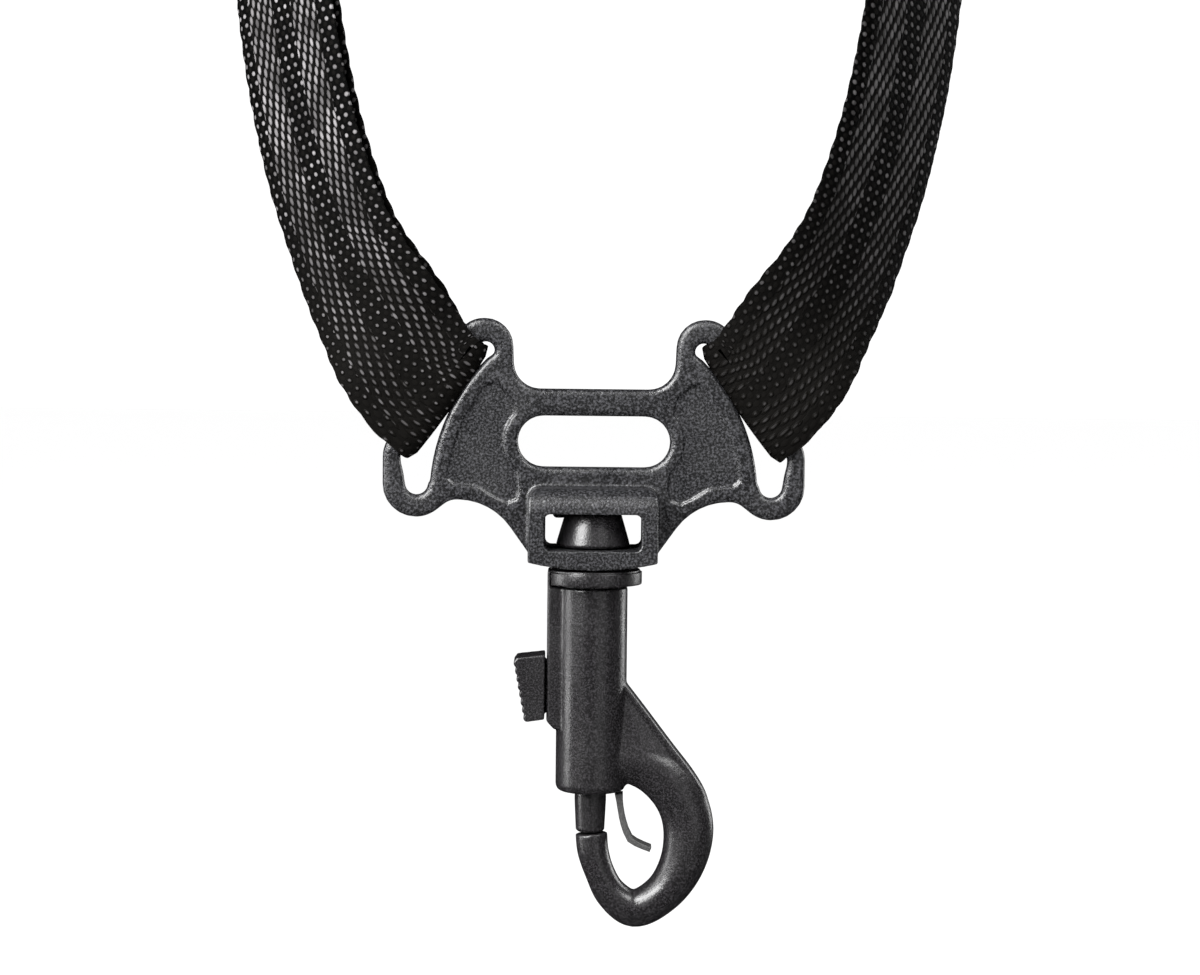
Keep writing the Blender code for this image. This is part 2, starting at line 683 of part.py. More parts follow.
def build_hook_body(material):
    """Tube with its side rail, the hooked arm with a flat seat, and the web and rim that brace it."""
    chamfer = 0.9
    tube = turned([
        (TUBE_RADIUS - chamfer, TUBE_BOTTOM), (TUBE_RADIUS, TUBE_BOTTOM + chamfer), (TUBE_RADIUS, TUBE_TOP),
    ])
    hook = make_object("hook_body", tube, material)
    rail_outline = [(-3.0, RAIL_BOTTOM - 2.2), (-6.2, RAIL_BOTTOM - 1.4), (-7.4, RAIL_BOTTOM),
                    (RAIL_FACE, RAIL_BOTTOM + 0.4), (RAIL_FACE, COLLAR_TOP), (RAIL_FACE + 1.0, COLLAR_TOP),
                    (RAIL_FACE + 1.0, TUBE_TOP), (-3.0, TUBE_TOP)]
    rail = prism(rail_outline, -RAIL_HALF_DEPTH, RAIL_HALF_DEPTH)
    line = (RIM_TO - RIM_FROM).normalized()
    inward = Vector((line.y, -line.x))
    web = prism([(4.0, -41.4), tuple(RIM_FROM), tuple(RIM_TO), (15.0, -62.4), (4.0, -60.4)], -1.3, 1.3)
    rim = prism([tuple(RIM_FROM), tuple(RIM_TO), tuple(RIM_TO + inward * 1.5), tuple(RIM_FROM + inward * 1.5)],
                -2.6, 2.6)
    joined = [("hook_rail", rail), ("hook_arm", build_arm()), ("hook_web", web), ("hook_rim", rim)]
    combine(hook, "UNION", *[make_object(name, shape) for name, shape in joined])
    bore = turned([(BOLT_RADIUS + GAP, TUBE_BOTTOM - 1), (BOLT_RADIUS + GAP, BORE_FLOOR),
                   (BORE_RADIUS, BORE_FLOOR), (BORE_RADIUS, TUBE_TOP + 1)])
    slot = block((RAIL_FACE - 1, -RAIL_SLOT_HALF, RAIL_SLOT_BOTTOM), (-2.0, RAIL_SLOT_HALF, COLLAR_TOP + 1))
    seat = block((SEAT[0] - SEAT[2], -4.0, SEAT[1]), (SEAT[0] + SEAT[2], 4.0, SEAT[1] + 2.0))
    cuts = [("hook_bore", bore), ("hook_slot", slot), ("ring_seat", seat)]
    combine(hook, "DIFFERENCE", *[make_object(name, shape) for name, shape in cuts])
    return hook


def tab_outline():
    """Thumb tab seen from the front, with rounded ribs down its slanted face."""
    near = RAIL_FACE - GAP - 0.05
    top, bottom = Vector((-13.7, -38.5)), Vector((-11.5, -50.3))
    points = [(near, -50.0), (near, -37.7)]
    slope = (bottom - top).normalized()
    outward = Vector((slope.y, -slope.x))
    for i in range(TAB_RIBS):
        for k in range(4):
            t = (i + k / 4) / TAB_RIBS
            points.append(tuple(top.lerp(bottom, t) + outward * 0.4 * math.sin(math.pi * k / 4)))
    points.append(tuple(bottom))
    return points


def build_bolt(material):
    """Latch bolt: shaft, piston, spring spigot, arm and thumb tab in one moulding."""
    profile = [
        (BOLT_RADIUS - 0.45, BOLT_TIP), (BOLT_RADIUS, BOLT_TIP + 0.5), (BOLT_RADIUS, PISTON_BOTTOM),
        (BORE_RADIUS - GAP, PISTON_BOTTOM), (BORE_RADIUS - GAP, PISTON_TOP), (SPIGOT_RADIUS, PISTON_TOP),
        (SPIGOT_RADIUS, PISTON_TOP + SPIGOT_LENGTH),
    ]
    bolt = make_object("latch_bolt", turned(profile, 32), material)
    arm_half = RAIL_SLOT_HALF - GAP
    arm = block((RAIL_FACE - 1.5, -arm_half, RAIL_SLOT_BOTTOM + GAP), (-2.5, arm_half, -39.5))
    tab = prism(tab_outline(), -TAB_HALF_DEPTH, TAB_HALF_DEPTH)
    combine(bolt, "UNION", make_object("bolt_arm", arm), make_object("thumb_tab", tab))
    return bolt


def build_spring(material):
    """Compression spring between the piston and the plug."""
    radius = SPRING_WIRE / 2
    low = PISTON_TOP + GAP + radius
    high = COLLAR_TOP - COLLAR_THICK - PLUG_LENGTH - GAP - radius
    steps = SPRING_TURNS * 14
    rings = []
    for i in range(steps + 1):
        a = 2 * math.pi * SPRING_TURNS * i / steps
        out = Vector((math.cos(a), math.sin(a), 0))
        middle = out * SPRING_RADIUS + Vector((0, 0, low + (high - low) * i / steps))
        ring = [middle + out * radius * math.cos(b) + Vector((0, 0, radius * math.sin(b)))
                for b in (2 * math.pi * k / 6 for k in range(6))]
        rings.append(ring)
    return make_object("bolt_spring", skin(rings), material)


def build_tongue(material):
    """Thin leaf that keeps the instrument's ring off the bolt. Its top end is its hinge."""
    rows = spline([
        (5.15, 0, TUBE_BOTTOM - GAP, 1.5), (5.3, 0, -65.0, 1.2), (5.75, 0, -67.9, TONGUE_THICK),
        (6.5, 0, -70.5, TONGUE_THICK), (7.25, 0, -72.0, TONGUE_THICK), (8.3, 0, -72.7, 1.0), (11.0, 0, -73.8, 0.9),
    ], 1.2)
    rings = []
    for i, row in enumerate(rows):
        along = (Vector(rows[min(i + 1, len(rows) - 1)][:3]) - Vector(rows[max(i - 1, 0)][:3])).normalized()
        if i == 0:
            along = Vector((0, 0, -1))
        side = Vector((along.z, 0, -along.x)) * row[3] / 2
        deep = Vector((0, TONGUE_HALF_DEPTH, 0))
        middle = Vector(row[:3])
        rings.append([middle - side - deep, middle + side - deep, middle + side + deep, middle - side + deep])
    return make_object("ring_tongue", skin(rings), material)


def main():
    """Builds every piece."""
    clear_scene()
    moulding = make_material("black_moulding", BLACK_MOULDING, 0.45)
    cloth = make_material("black_webbing", BLACK_WEBBING, 0.85)
    thread = make_material("black_thread", BLACK_THREAD, 0.7)
    steel = make_material("spring_steel", SPRING_STEEL, 0.3, 1.0)
    build_webbing(cloth)
    build_return(cloth)
    build_tacks(thread)
    build_slide(moulding)
    build_yoke(moulding)
    build_stud(moulding)
    build_hook_body(moulding)
    build_bolt(moulding)
    build_spring(steel)
    build_tongue(moulding)


main()
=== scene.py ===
"""Saxophone neck strap: herringbone webbing, a moulded yoke, a slide adjuster and a swivel snap hook.

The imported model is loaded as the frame. Each operator then makes one piece, or one group of like pieces.
Shapes are written in millimetres around the middle of the yoke's centre slot, with +Z up, the front of the
strap facing -Y and X across the chest, and place() turns them into the frame's metres.
"""

import math

import bmesh
import bpy
from bpy.props import FloatProperty, FloatVectorProperty, IntProperty, PointerProperty
from mathutils import Matrix, Vector


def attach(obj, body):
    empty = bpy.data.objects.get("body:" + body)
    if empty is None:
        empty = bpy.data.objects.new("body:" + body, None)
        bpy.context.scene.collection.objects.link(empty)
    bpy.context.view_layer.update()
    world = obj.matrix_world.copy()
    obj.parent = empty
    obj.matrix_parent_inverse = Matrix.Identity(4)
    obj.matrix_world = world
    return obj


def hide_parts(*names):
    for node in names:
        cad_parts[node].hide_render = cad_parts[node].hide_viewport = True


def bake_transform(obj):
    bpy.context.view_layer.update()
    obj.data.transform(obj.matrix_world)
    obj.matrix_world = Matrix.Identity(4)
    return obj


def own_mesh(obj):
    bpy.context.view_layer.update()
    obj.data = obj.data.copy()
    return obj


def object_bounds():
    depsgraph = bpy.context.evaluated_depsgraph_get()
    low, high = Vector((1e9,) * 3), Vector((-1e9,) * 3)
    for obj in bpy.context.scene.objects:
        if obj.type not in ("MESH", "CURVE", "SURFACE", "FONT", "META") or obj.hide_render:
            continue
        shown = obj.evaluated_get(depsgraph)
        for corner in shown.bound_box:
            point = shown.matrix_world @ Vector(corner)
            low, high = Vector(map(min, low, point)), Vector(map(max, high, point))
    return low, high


bl_info = {
    "name": "Saxophone Neck Strap",
    "version": (1, 0, 0),
    "blender": (4, 5, 0),
    "location": "3D View > Sidebar > Neck Strap",
    "description": "Builds a webbing neck strap with its yoke, slide adjuster and swivel snap hook",
    "category": "Add Mesh",
}

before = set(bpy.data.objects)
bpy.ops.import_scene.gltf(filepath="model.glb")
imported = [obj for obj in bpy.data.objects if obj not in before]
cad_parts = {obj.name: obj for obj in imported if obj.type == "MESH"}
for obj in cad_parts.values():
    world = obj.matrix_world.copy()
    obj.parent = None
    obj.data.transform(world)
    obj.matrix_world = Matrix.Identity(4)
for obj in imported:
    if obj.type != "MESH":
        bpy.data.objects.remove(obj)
CAD_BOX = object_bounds()

MM = 0.001
NECK_REST = Vector((0.0, 144.25, 259.0))  # the frame's origin, seen from the middle of the centre slot

# The strap's way, as the frame has it. Each row has the middle of the webbing, how far its width leans below
# level and how far its outer edge turns back, in degrees.
FOLD_IN = (18.7, 16.65)
FOLD_OUT = (32.95, -3.8)
FOLD_RADIUS = 2.55
LEG = [
    (31.3, -2.55, 11.0, 46.0, 0.0),
    (34.1, -2.55, 15.0, 37.0, 0.0),
    (38.7, -1.4, 22.3, 32.0, 18.0),
    (42.6, 0.4, 28.8, 28.0, 29.0),
    (46.0, 2.5, 35.7, 25.0, 36.0),
    (51.0, 6.0, 49.6, 22.0, 39.0),
    (54.5, 9.5, 63.4, 22.0, 40.0),
]
STRAIGHT_FROM = Vector((57.0, 13.3, 77.2))
STRAIGHT_TO = Vector((71.8, 49.3, 184.0))
STRAIGHT_LEAN = 24.0
STRAIGHT_TURN = 40.0
STRAIGHT_EASE = 0.06
NECK = [
    (74.6, 60.0, 206.0, 30.0, 37.0),
    (75.0, 78.0, 229.0, 38.0, 32.0),
    (69.0, 101.0, 245.0, 49.0, 26.0),
    (54.0, 124.0, 254.0, 64.0, 20.0),
    (31.0, 139.0, 258.0, 79.0, 14.0),
    (0.0, 145.0, 259.0, 90.0, 9.0),
]
TAIL_LENGTH = 34.0  # how far the right end runs up the straight stretch
PLY_STEP = 1.8  # from the middle of one layer to the next one's
RETURN_GAP = 2.6  # from the front layer's middle to the return run's
RETURN_TURN = 2.15  # radius of the return run round the slide's centre bar
RETURN_TAIL = 32.0  # how far the left end hangs down from the slide
RETURN_SHIFT, TAIL_SHIFT = 0.8, 1.8  # how far the return run and the right end lie to one side
HALF_THICK = 0.75  # half the webbing's thickness in the frame
CLOSE_FROM, CLOSE_OVER = 5, 28  # past the fold, two layers close up over this stretch
SLIDE_AT = 0.56  # share of the straight stretch
BOW = 0.5
BOW_BELOW = 20  # height under which a fold's middle bows towards the yoke
SHADE_DEEPEST_AT, SHADE_GONE_AT = 8, 60  # heights over which the painted shade near the yoke fades out
SIDE_SHADE_UNTIL, SIDE_SHADE_GONE_FROM = 200, 450  # lengths along the webbing over which the painted shade on the right leg fades out

# Snap hook
COLLAR_TOP = -23.0
TUBE_TOP = -26.2
TUBE_BOTTOM = -63.4
RAIL_FACE = -8.1
ARM = [  # middle (x, z), thickness in the hook's plane, depth; from the tip round to the tube
    (0.25, -71.1, 5.8, 5.8),
    (0.55, -74.2, 5.7, 6.0),
    (1.75, -78.05, 5.4, 6.2),
    (4.0, -82.2, 5.9, 6.5),
    (8.0, -84.85, 6.8, 6.9),
    (13.2, -82.1, 7.2, 7.3),
    (16.6, -77.0, 8.2, 7.7),
    (17.85, -70.9, 9.1, 8.0),
    (17.1, -66.5, 9.2, 8.0),
    (14.7, -62.3, 9.2, 8.0),
    (10.8, -59.0, 9.0, 7.9),
    (6.0, -57.2, 9.0, 7.8),
    (1.5, -56.8, 9.0, 7.8),
]

RIM = [  # the thin rim on the web's outer edge, from the tube down to the outside of the arm
    (4.7, -42.7, 1.5, 5.0),
    (9.0, -48.2, 1.5, 5.2),
    (14.0, -54.85, 1.6, 5.2),
    (18.2, -60.55, 1.9, 5.2),
    (19.9, -63.7, 2.1, 4.4),
    (20.9, -67.2, 2.2, 3.0),
]


# ---------------------------------------------------------------- sizes and colours


def linear(hex_colour):
    """Linear RGB of an sRGB hex colour."""
    values = [int(hex_colour[i:i + 2], 16) / 255 for i in (1, 3, 5)]
    return tuple(v / 12.92 if v <= 0.04045 else ((v + 0.055) / 1.055) ** 2.4 for v in values)


def colour(name, description, hex_colour):
    """A colour property with an sRGB hex default."""
    return FloatVectorProperty(
        name=name, description=description, subtype="COLOR", size=3, min=0, max=1, default=linear(hex_colour)
    )


def length(name, description, default, **more):
    """A length property in metres."""
    return FloatProperty(name=name, description=description, default=default, min=0, unit="LENGTH", **more)


class StrapSizes(bpy.types.PropertyGroup):
    """Sizes that change the surface and not the frame."""

    webbing_width: length("Webbing width", "Width of the woven strap", 0.025)
    webbing_thickness: length("Webbing thickness", "Thickness of one layer of webbing", 0.0015)
    long_zone: length("Long-float zone", "Width of a herringbone zone of long floats", 0.0064)
    short_zone: length("Short-float zone", "Width of the middle zone of short floats", 0.005)
    column: length("Float column", "Distance across between the columns of floats", 0.00178)
    pick: length("Float row", "Distance along between the rows of floats", 0.00187)
    scallop: length("Selvedge scallop", "Length of one scallop of the woven edge", 0.0044)
    scallop_depth: length("Scallop depth", "How far a scallop stands out from its notch", 0.00035)
    station: length("Webbing station", "Distance between the webbing's cross-sections", 0.0011)
    fillet: length("Moulding fillet", "Grid that rounds the mouldings' edges", 0.00028)
    thread: length("Thread thickness", "Thickness of the sewing thread", 0.00042)
    stitches: IntProperty(name="Tack stitches", description="Stitches in one bar tack", default=30, min=4)


class StrapColours(bpy.types.PropertyGroup):
    """Colours of the real materials."""

    # Painted shade: the valleys between the floats are drawn near-black for the shadow that falls there.
    yarn_valley_painted_shade: colour("Yarn in the valleys", "Black polypropylene yarn between the floats", "#010101")
    yarn_float: colour("Yarn on the floats", "Black yarn where it lies on top", "#0a0908")
    # Painted highlight: the bright crowns of the floats are drawn in this colour.
    yarn_painted_glint: colour("Float glint", "Bright filaments at the crown of a float", "#6c6a6b")
    moulding: colour("Moulding", "Black moulded nylon", "#0b0b0c")
    moulding_painted_sparkle: colour("Moulding grain", "Pale grains of the textured nylon", "#5a5a5e")
    # Painted highlight: the sparkle of the nylon's grains is drawn in this pale colour.
    hook: colour("Hook", "Black moulded acetal", "#0c0b0c")
    hook_painted_sparkle: colour("Hook grain", "Pale grains of the acetal", "#413f42")
    # Painted highlight: the sparkle of the acetal's grains is drawn in this pale colour.
    thread: colour("Thread", "Black bonded nylon thread", "#0c0c0d")
    steel: colour("Spring steel", "Drawn spring wire", "#c9c9cc")
    floor: colour("Floor", "Plain pale floor", "#f6f6f6")


# ---------------------------------------------------------------- making meshes


def place(point):
    """A point in millimetres around the centre slot, as a point in the frame."""
    return (Vector(point) - NECK_REST) * MM


def select_only(item):
    """Makes one object the selected and active one."""
    bpy.ops.object.select_all(action="DESELECT")
    item.select_set(True)
    bpy.context.view_layer.objects.active = item


def new_sheet(name, shape):
    """An object from a webbing mesh in millimetres around the centre slot."""
    for vertex in shape.verts:
        vertex.co = place(vertex.co)
    bmesh.ops.recalc_face_normals(shape, faces=shape.faces)
    mesh = bpy.data.meshes.new(name)
    shape.to_mesh(mesh)
    shape.free()
    item = bpy.data.objects.new(name, mesh)
    bpy.context.scene.collection.objects.link(item)
    mesh.shade_smooth()
    return item


def skin(rings):
    """Closed solid through rings of equal length, with flat ends."""
    shape = bmesh.new()
    loops = [[shape.verts.new(p) for p in ring] for ring in rings]
    for lower, upper in zip(loops, loops[1:]):
        for i in range(len(lower)):
            j = (i + 1) % len(lower)
            shape.faces.new((lower[i], lower[j], upper[j], upper[i]))
    shape.faces.new(loops[0])
    shape.faces.new(loops[-1])
    return shape


def added(name):
    """The primitive that was just added, named, with its place moved into its mesh."""
    item = bpy.context.object
    item.name = name
    bpy.ops.object.transform_apply(location=True, rotation=True, scale=True)
    return item


def disc(name, middle, radius, sides, heading=0.0):
    """A filled circle that faces along a heading in the XZ plane, from +Z towards +X."""
    bpy.ops.object.select_all(action="DESELECT")
    bpy.ops.mesh.primitive_circle_add(vertices=sides, radius=radius * MM, fill_type="NGON",
                                      location=place(middle), rotation=(0, heading, 0))
    return added(name)


def block(name, low, high):
    """A cube stretched between two corners."""
    low, high = Vector(low), Vector(high)
    bpy.ops.object.select_all(action="DESELECT")
    bpy.ops.mesh.primitive_cube_add(size=1, location=place((low + high) / 2), scale=(high - low) * MM)
    return added(name)


def pick(item, kind, test):
    """In edit mode, selects the faces or vertices whose place, in millimetres, passes a test."""
    bpy.ops.mesh.select_mode(type="VERT" if kind == "verts" else "FACE")
    bpy.ops.mesh.select_all(action="DESELECT")
    shape = bmesh.from_edit_mesh(item.data)
    for part in getattr(shape, kind):
        where = part.co if kind == "verts" else part.calc_center_median()
        if test(where / MM + NECK_REST):
            part.select_set(True)
    shape.select_flush_mode()
    bmesh.update_edit_mesh(item.data)


def extrude(step, centre, scale=(1, 1, 1), turn=0.0):
    """Extrudes the selected face, then turns it about Y and scales it around its new middle."""
    centre = place(centre)
    bpy.ops.mesh.extrude_region_move(TRANSFORM_OT_translate={"value": Vector(step) * MM})
    if turn:
        bpy.ops.transform.rotate(value=-turn, orient_axis="Y", center_override=centre)
    bpy.ops.transform.resize(value=scale, center_override=centre)


def edit(item):
    """Starts editing an object with everything selected."""
    select_only(item)
    bpy.ops.object.mode_set(mode="EDIT")
    bpy.ops.mesh.select_all(action="SELECT")


def close_edit():
    """Turns the faces outwards and leaves edit mode."""
    bpy.ops.mesh.select_all(action="SELECT")
    bpy.ops.mesh.normals_make_consistent(inside=False)
    bpy.ops.object.mode_set(mode="OBJECT")


def turned(name, rows, sides=96):
    """A round piece about Z: a disc extruded upwards and scaled through (radius, z) rows."""
    item = disc(name, (0, 0, rows[0][1]), rows[0][0], sides)
    edit(item)
    for (before, low), (radius, high) in zip(rows, rows[1:]):
        grow = radius / before
        extrude((0, 0, high - low), (0, 0, high), (grow, grow, 1))
    close_edit()
    return item


def swept(name, rows, sides, step=0.7):
    """A bar through (x, z, width, depth) rows: a disc extruded, turned and scaled from row to row."""
    rows = spline([(x, 0, z, width, depth) for x, z, width, depth in rows], step)
    headings = []
    for i in range(len(rows)):
        along = rows[min(i + 1, len(rows) - 1)] - rows[max(i - 1, 0)]
        headings.append(math.atan2(along[0], along[2]))
    item = disc(name, rows[0][:3], rows[0][3] / 2, sides, headings[0])
    edit(item)
    flat = rows[0][4] / rows[0][3]
    bpy.ops.transform.resize(value=(1, flat, 1), center_override=place(rows[0][:3]))
    for i in range(1, len(rows)):
        before, row = rows[i - 1], rows[i]
        turn = (headings[i] - headings[i - 1] + math.pi) % (2 * math.pi) - math.pi
        wide, deep = row[3] / before[3], row[4] / before[4]
        extrude(Vector(row[:3]) - Vector(before[:3]), row[:3], (wide, deep, wide), turn)
    close_edit()
    return item


def joined(item, *others):
    """Joins overlapping solids into one object. The moulded grid then makes them one skin."""
    select_only(item)
    for other in others:
        other.select_set(True)
    bpy.ops.object.join()
    return item


def apply_modifiers(item):
    """Applies an object's modifiers in order."""
    select_only(item)
    for modifier in list(item.modifiers):
        bpy.ops.object.modifier_apply(modifier=modifier.name)


def cut(item, *tools):
    """Cuts solids away from an object and removes them."""
    for tool in tools:
        modifier = item.modifiers.new(tool.name, "BOOLEAN")
        modifier.operation = "DIFFERENCE"
        modifier.solver = "EXACT"
        modifier.object = tool
        apply_modifiers(item)
        bpy.data.objects.remove(tool)
    return item


def mould(item, grid, passes):
    """Rounds every edge as a mould does: a fine remesh, then smoothing."""
    remesh = item.modifiers.new("moulded grid", "REMESH")
    remesh.mode = "VOXEL"
    remesh.voxel_size = grid
    remesh.use_smooth_shade = True
    smooth = item.modifiers.new("moulded fillets", "SMOOTH")
    smooth.factor = 0.5
    smooth.iterations = passes
    apply_modifiers(item)
    bpy.ops.object.shade_smooth()


def soften(item, width, segments, angle):
    """Bevels the edges that are sharper than an angle, and smooths the rest."""
    bevel = item.modifiers.new("softened edges", "BEVEL")
    bevel.width = width * MM
    bevel.segments = segments
    bevel.limit_method = "ANGLE"
    bevel.angle_limit = math.radians(angle)
    apply_modifiers(item)
    bpy.ops.object.shade_smooth_by_angle(angle=math.radians(50))


def merged_copy(name, cad):
    """A copy of a CAD node with its loose triangles merged."""
    item = bpy.data.objects.new(name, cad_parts[cad].data.copy())
    bpy.context.scene.collection.objects.link(item)
    item.data.materials.clear()
    edit(item)
    bpy.ops.mesh.remove_doubles(threshold=1e-6)
    bpy.ops.object.mode_set(mode="OBJECT")
    return item


def finish_piece(item, material, body, slot, *cads):
    """Gives a piece its material and its body, and hides the CAD nodes that it stands for. The slot is not
    used.
    """
    item.data.materials.clear()
    item.data.materials.append(material)
    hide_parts(*cads)
    if body:
        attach(item, body)
    return item


# ---------------------------------------------------------------- the strap's way


def slope(before, after):
    """Slope at a row: the mean for places. A size or an angle doesn't swing past its rows."""
    mean = (before + after) / 2
    return Vector([m if i < 3 or b * a > 0 else 0.0 for i, (m, b, a) in enumerate(zip(mean, before, after))])


def spline(rows, step):
    """Points on a smooth curve through rows of numbers, about one step apart."""
    rows = [Vector(row) for row in rows]
    points = []
    for i in range(len(rows) - 1):
        a = rows[max(i - 1, 0)]
        b, c = rows[i], rows[i + 1]
        d = rows[min(i + 2, len(rows) - 1)]
        span = Vector(c[:3]) - Vector(b[:3])
        count = max(1, round(span.length / step))
        before = max((Vector(b[:3]) - Vector(a[:3])).length, 1e-6)
        after = max((Vector(d[:3]) - Vector(c[:3])).length, 1e-6)
        here = (c - b) / span.length
        leave = slope((b - a) / before if i else here, here) * span.length
        arrive = slope(here, (d - c) / after if i < len(rows) - 2 else here) * span.length
        for k in range(count):
            t = k / count
            h = (2 * t**3 - 3 * t**2 + 1, t**3 - 2 * t**2 + t, -2 * t**3 + 3 * t**2, t**3 - t**2)
            points.append(b * h[0] + leave * h[1] + c * h[2] + arrive * h[3])
    points.append(rows[-1])
    return points


def square(along, lean, turn):
    """Width and inward directions square to the way, from a lean and a turn in degrees."""
    lean, turn = math.radians(lean), math.radians(turn)
    width = Vector((math.cos(turn) * math.cos(lean), math.sin(turn), -math.cos(turn) * math.sin(lean)))
    inward = along.cross(width).normalized()
    return inward.cross(along).normalized(), inward


def fold_axes():
    """The fold's width direction and the direction away from the yoke, right side."""
    width = Vector((FOLD_OUT[0] - FOLD_IN[0], 0, FOLD_OUT[1] - FOLD_IN[1])).normalized()
    return width, Vector((-width.z, 0, width.x))


def fold_frames(start, end, count):
    """Webbing round the right side bar, from one angle to another. -90 is in front and 90 behind."""
    width, outward = fold_axes()
    crease = Vector(((FOLD_IN[0] + FOLD_OUT[0]) / 2, 0, (FOLD_IN[1] + FOLD_OUT[1]) / 2))
    middle = crease + outward * (FOLD_RADIUS + HALF_THICK)
    frames = []
    for i in range(count + 1):
        a = math.radians(start + (end - start) * i / count)
        arm = Vector((0, math.sin(a), 0)) - outward * math.cos(a)
        frames.append((middle + arm * FOLD_RADIUS, width, -arm))
    return frames


def leg_frames(step):
    """Middle, width direction and inward normal of the front layer on the right, from the fold up."""
    start = fold_frames(-90, 0, 2)[0][0]
    fold_lean = math.degrees(math.atan2(FOLD_IN[1] - FOLD_OUT[1], FOLD_OUT[0] - FOLD_IN[0]))
    straight = [
        (*STRAIGHT_FROM.lerp(STRAIGHT_TO, t), STRAIGHT_LEAN, STRAIGHT_TURN)
        for t in (0, STRAIGHT_EASE, 1 - STRAIGHT_EASE, 1)
    ]
    rows = spline([(*start, fold_lean, 0.0), *LEG, *straight, *NECK], step)
    frames = []
    for i, row in enumerate(rows):
        if i == 0:
            along = fold_axes()[1]
        elif i == len(rows) - 1:
            along = Vector((-1, 0, 0))
        else:
            along = Vector(rows[i + 1][:3]) - Vector(rows[i - 1][:3])
        frames.append((Vector(row[:3]), *square(along, row[3], row[4])))
    return frames


def behind(frames, final, shift):
    """A layer that lies inside another one: the bar is between them, then they close up."""
    moved, run = [], 0.0
    for i, (middle, width, normal) in enumerate(frames):
        if i:
            run += (middle - frames[i - 1][0]).length
        t = min(max((run - CLOSE_FROM) / CLOSE_OVER, 0), 1)
        distance = 2 * FOLD_RADIUS + (final - 2 * FOLD_RADIUS) * t * t * (3 - 2 * t)
        moved.append((middle + normal * distance + width * shift * min(run / 30, 1), width, -normal))
    return moved


def until(frames, height):
    """The frames up to a height."""
    return [f for f in frames if f[0].z <= height]


def flip(frames):
    """The same frames on the other leg."""
    return [tuple(Vector((-v.x, v.y, v.z)) for v in f) for f in frames]


def straight_frame(distance, side):
    """Middle, along, width and inward directions on the straight stretch, at a length from its start."""
    along = (STRAIGHT_TO - STRAIGHT_FROM).normalized()
    width, inward = square(along, STRAIGHT_LEAN, STRAIGHT_TURN)
    middle = STRAIGHT_FROM + along * distance
    return [Vector((v.x * side, v.y, v.z)) for v in (middle, along, width, inward)]


def slide_length():
    """Where the slide stands, as a length from the straight stretch's start."""
    return (STRAIGHT_TO - STRAIGHT_FROM).length * SLIDE_AT


def main_run(step):
    """The strap: sewn end behind the right leg, right fold, neck, left leg, left fold."""
    leg = leg_frames(step)
    end = straight_frame(TAIL_LENGTH, 1)[0]
    way = list(reversed(behind(until(leg, end.z), PLY_STEP, TAIL_SHIFT)))[:-1]
    way += fold_frames(90, -90, 14)[:-1]
    way += leg
    way += list(reversed(flip(leg)))[1:-1]
    way += flip(fold_frames(-90, 88, 14))
    return way


def return_run(step):
    """The doubled run on the left: behind the front layer up to the slide, round its bar and down again."""
    middle, u, w, n = straight_frame(slide_length(), 1)
    shift = w * RETURN_SHIFT
    way = behind(until(leg_frames(step), (middle - u * 4).z), RETURN_GAP, RETURN_SHIFT)
    # It starts just clear of the fold's last section.
    way[0] = (way[0][0] + Vector((0.12, 0, 0.08)), way[0][1], way[0][2])
    centre = middle + n * (RETURN_GAP + RETURN_TURN) + shift
    for i in range(13):
        a = math.pi * i / 12
        arm = -n * math.cos(a) + u * math.sin(a)
        way.append((centre + arm * RETURN_TURN, w, arm))
    last = RETURN_GAP + 2 * RETURN_TURN
    count = round(RETURN_TAIL / step)
    for i in range(1, count + 1):
        t = i / count
        ease = min(t * RETURN_TAIL / 15, 1)
        depth = last + (RETURN_GAP + PLY_STEP - last) * ease * ease * (3 - 2 * ease)
        way.append((middle - u * t * RETURN_TAIL + n * depth + shift, w, n))
    return flip(way)


# ---------------------------------------------------------------- materials


def node(tree, kind, inputs=(), **settings):
    """Adds a node with its settings, and fills its inputs with values or links."""
    made = tree.nodes.new(kind)
    for key, value in settings.items():
        setattr(made, key, value)
    for key, value in dict(inputs).items():
        if isinstance(value, bpy.types.Node):
            value = value.outputs[0]
        if isinstance(value, bpy.types.NodeSocket):
            tree.links.new(value, made.inputs[key])
        else:
            made.inputs[key].default_value = value
    return made


def maths(tree, operation, *values, **settings):
    """Adds a math node on values or links."""
    return node(tree, "ShaderNodeMath", dict(enumerate(values)), operation=operation, **settings)


def remap(tree, *values, **settings):
    """Adds a map range node: a value, the ends it comes from and the ends it goes to."""
    return node(tree, "ShaderNodeMapRange", dict(enumerate(values)), **settings)


def mixed(tree, share, low, high):
    """A mix of two colours, by a share."""
    return node(tree, "ShaderNodeMix", {0: share, 6: low, 7: high}, data_type="RGBA").outputs[2]


def blank_material(name):
    """A material with its tree emptied, and the tree."""
    material = bpy.data.materials.new(name)
    material.use_nodes = True
    material.node_tree.nodes.clear()
    return material, material.node_tree


def surfaced(material, inputs):
    """Ends a material's tree with one shader that takes these inputs."""
    shader = node(material.node_tree, "ShaderNodeBsdfPrincipled", inputs)
    node(material.node_tree, "ShaderNodeOutputMaterial", {0: shader})
    return material


def opaque(rgb):
    """A colour with its alpha."""
    return (*rgb, 1.0)


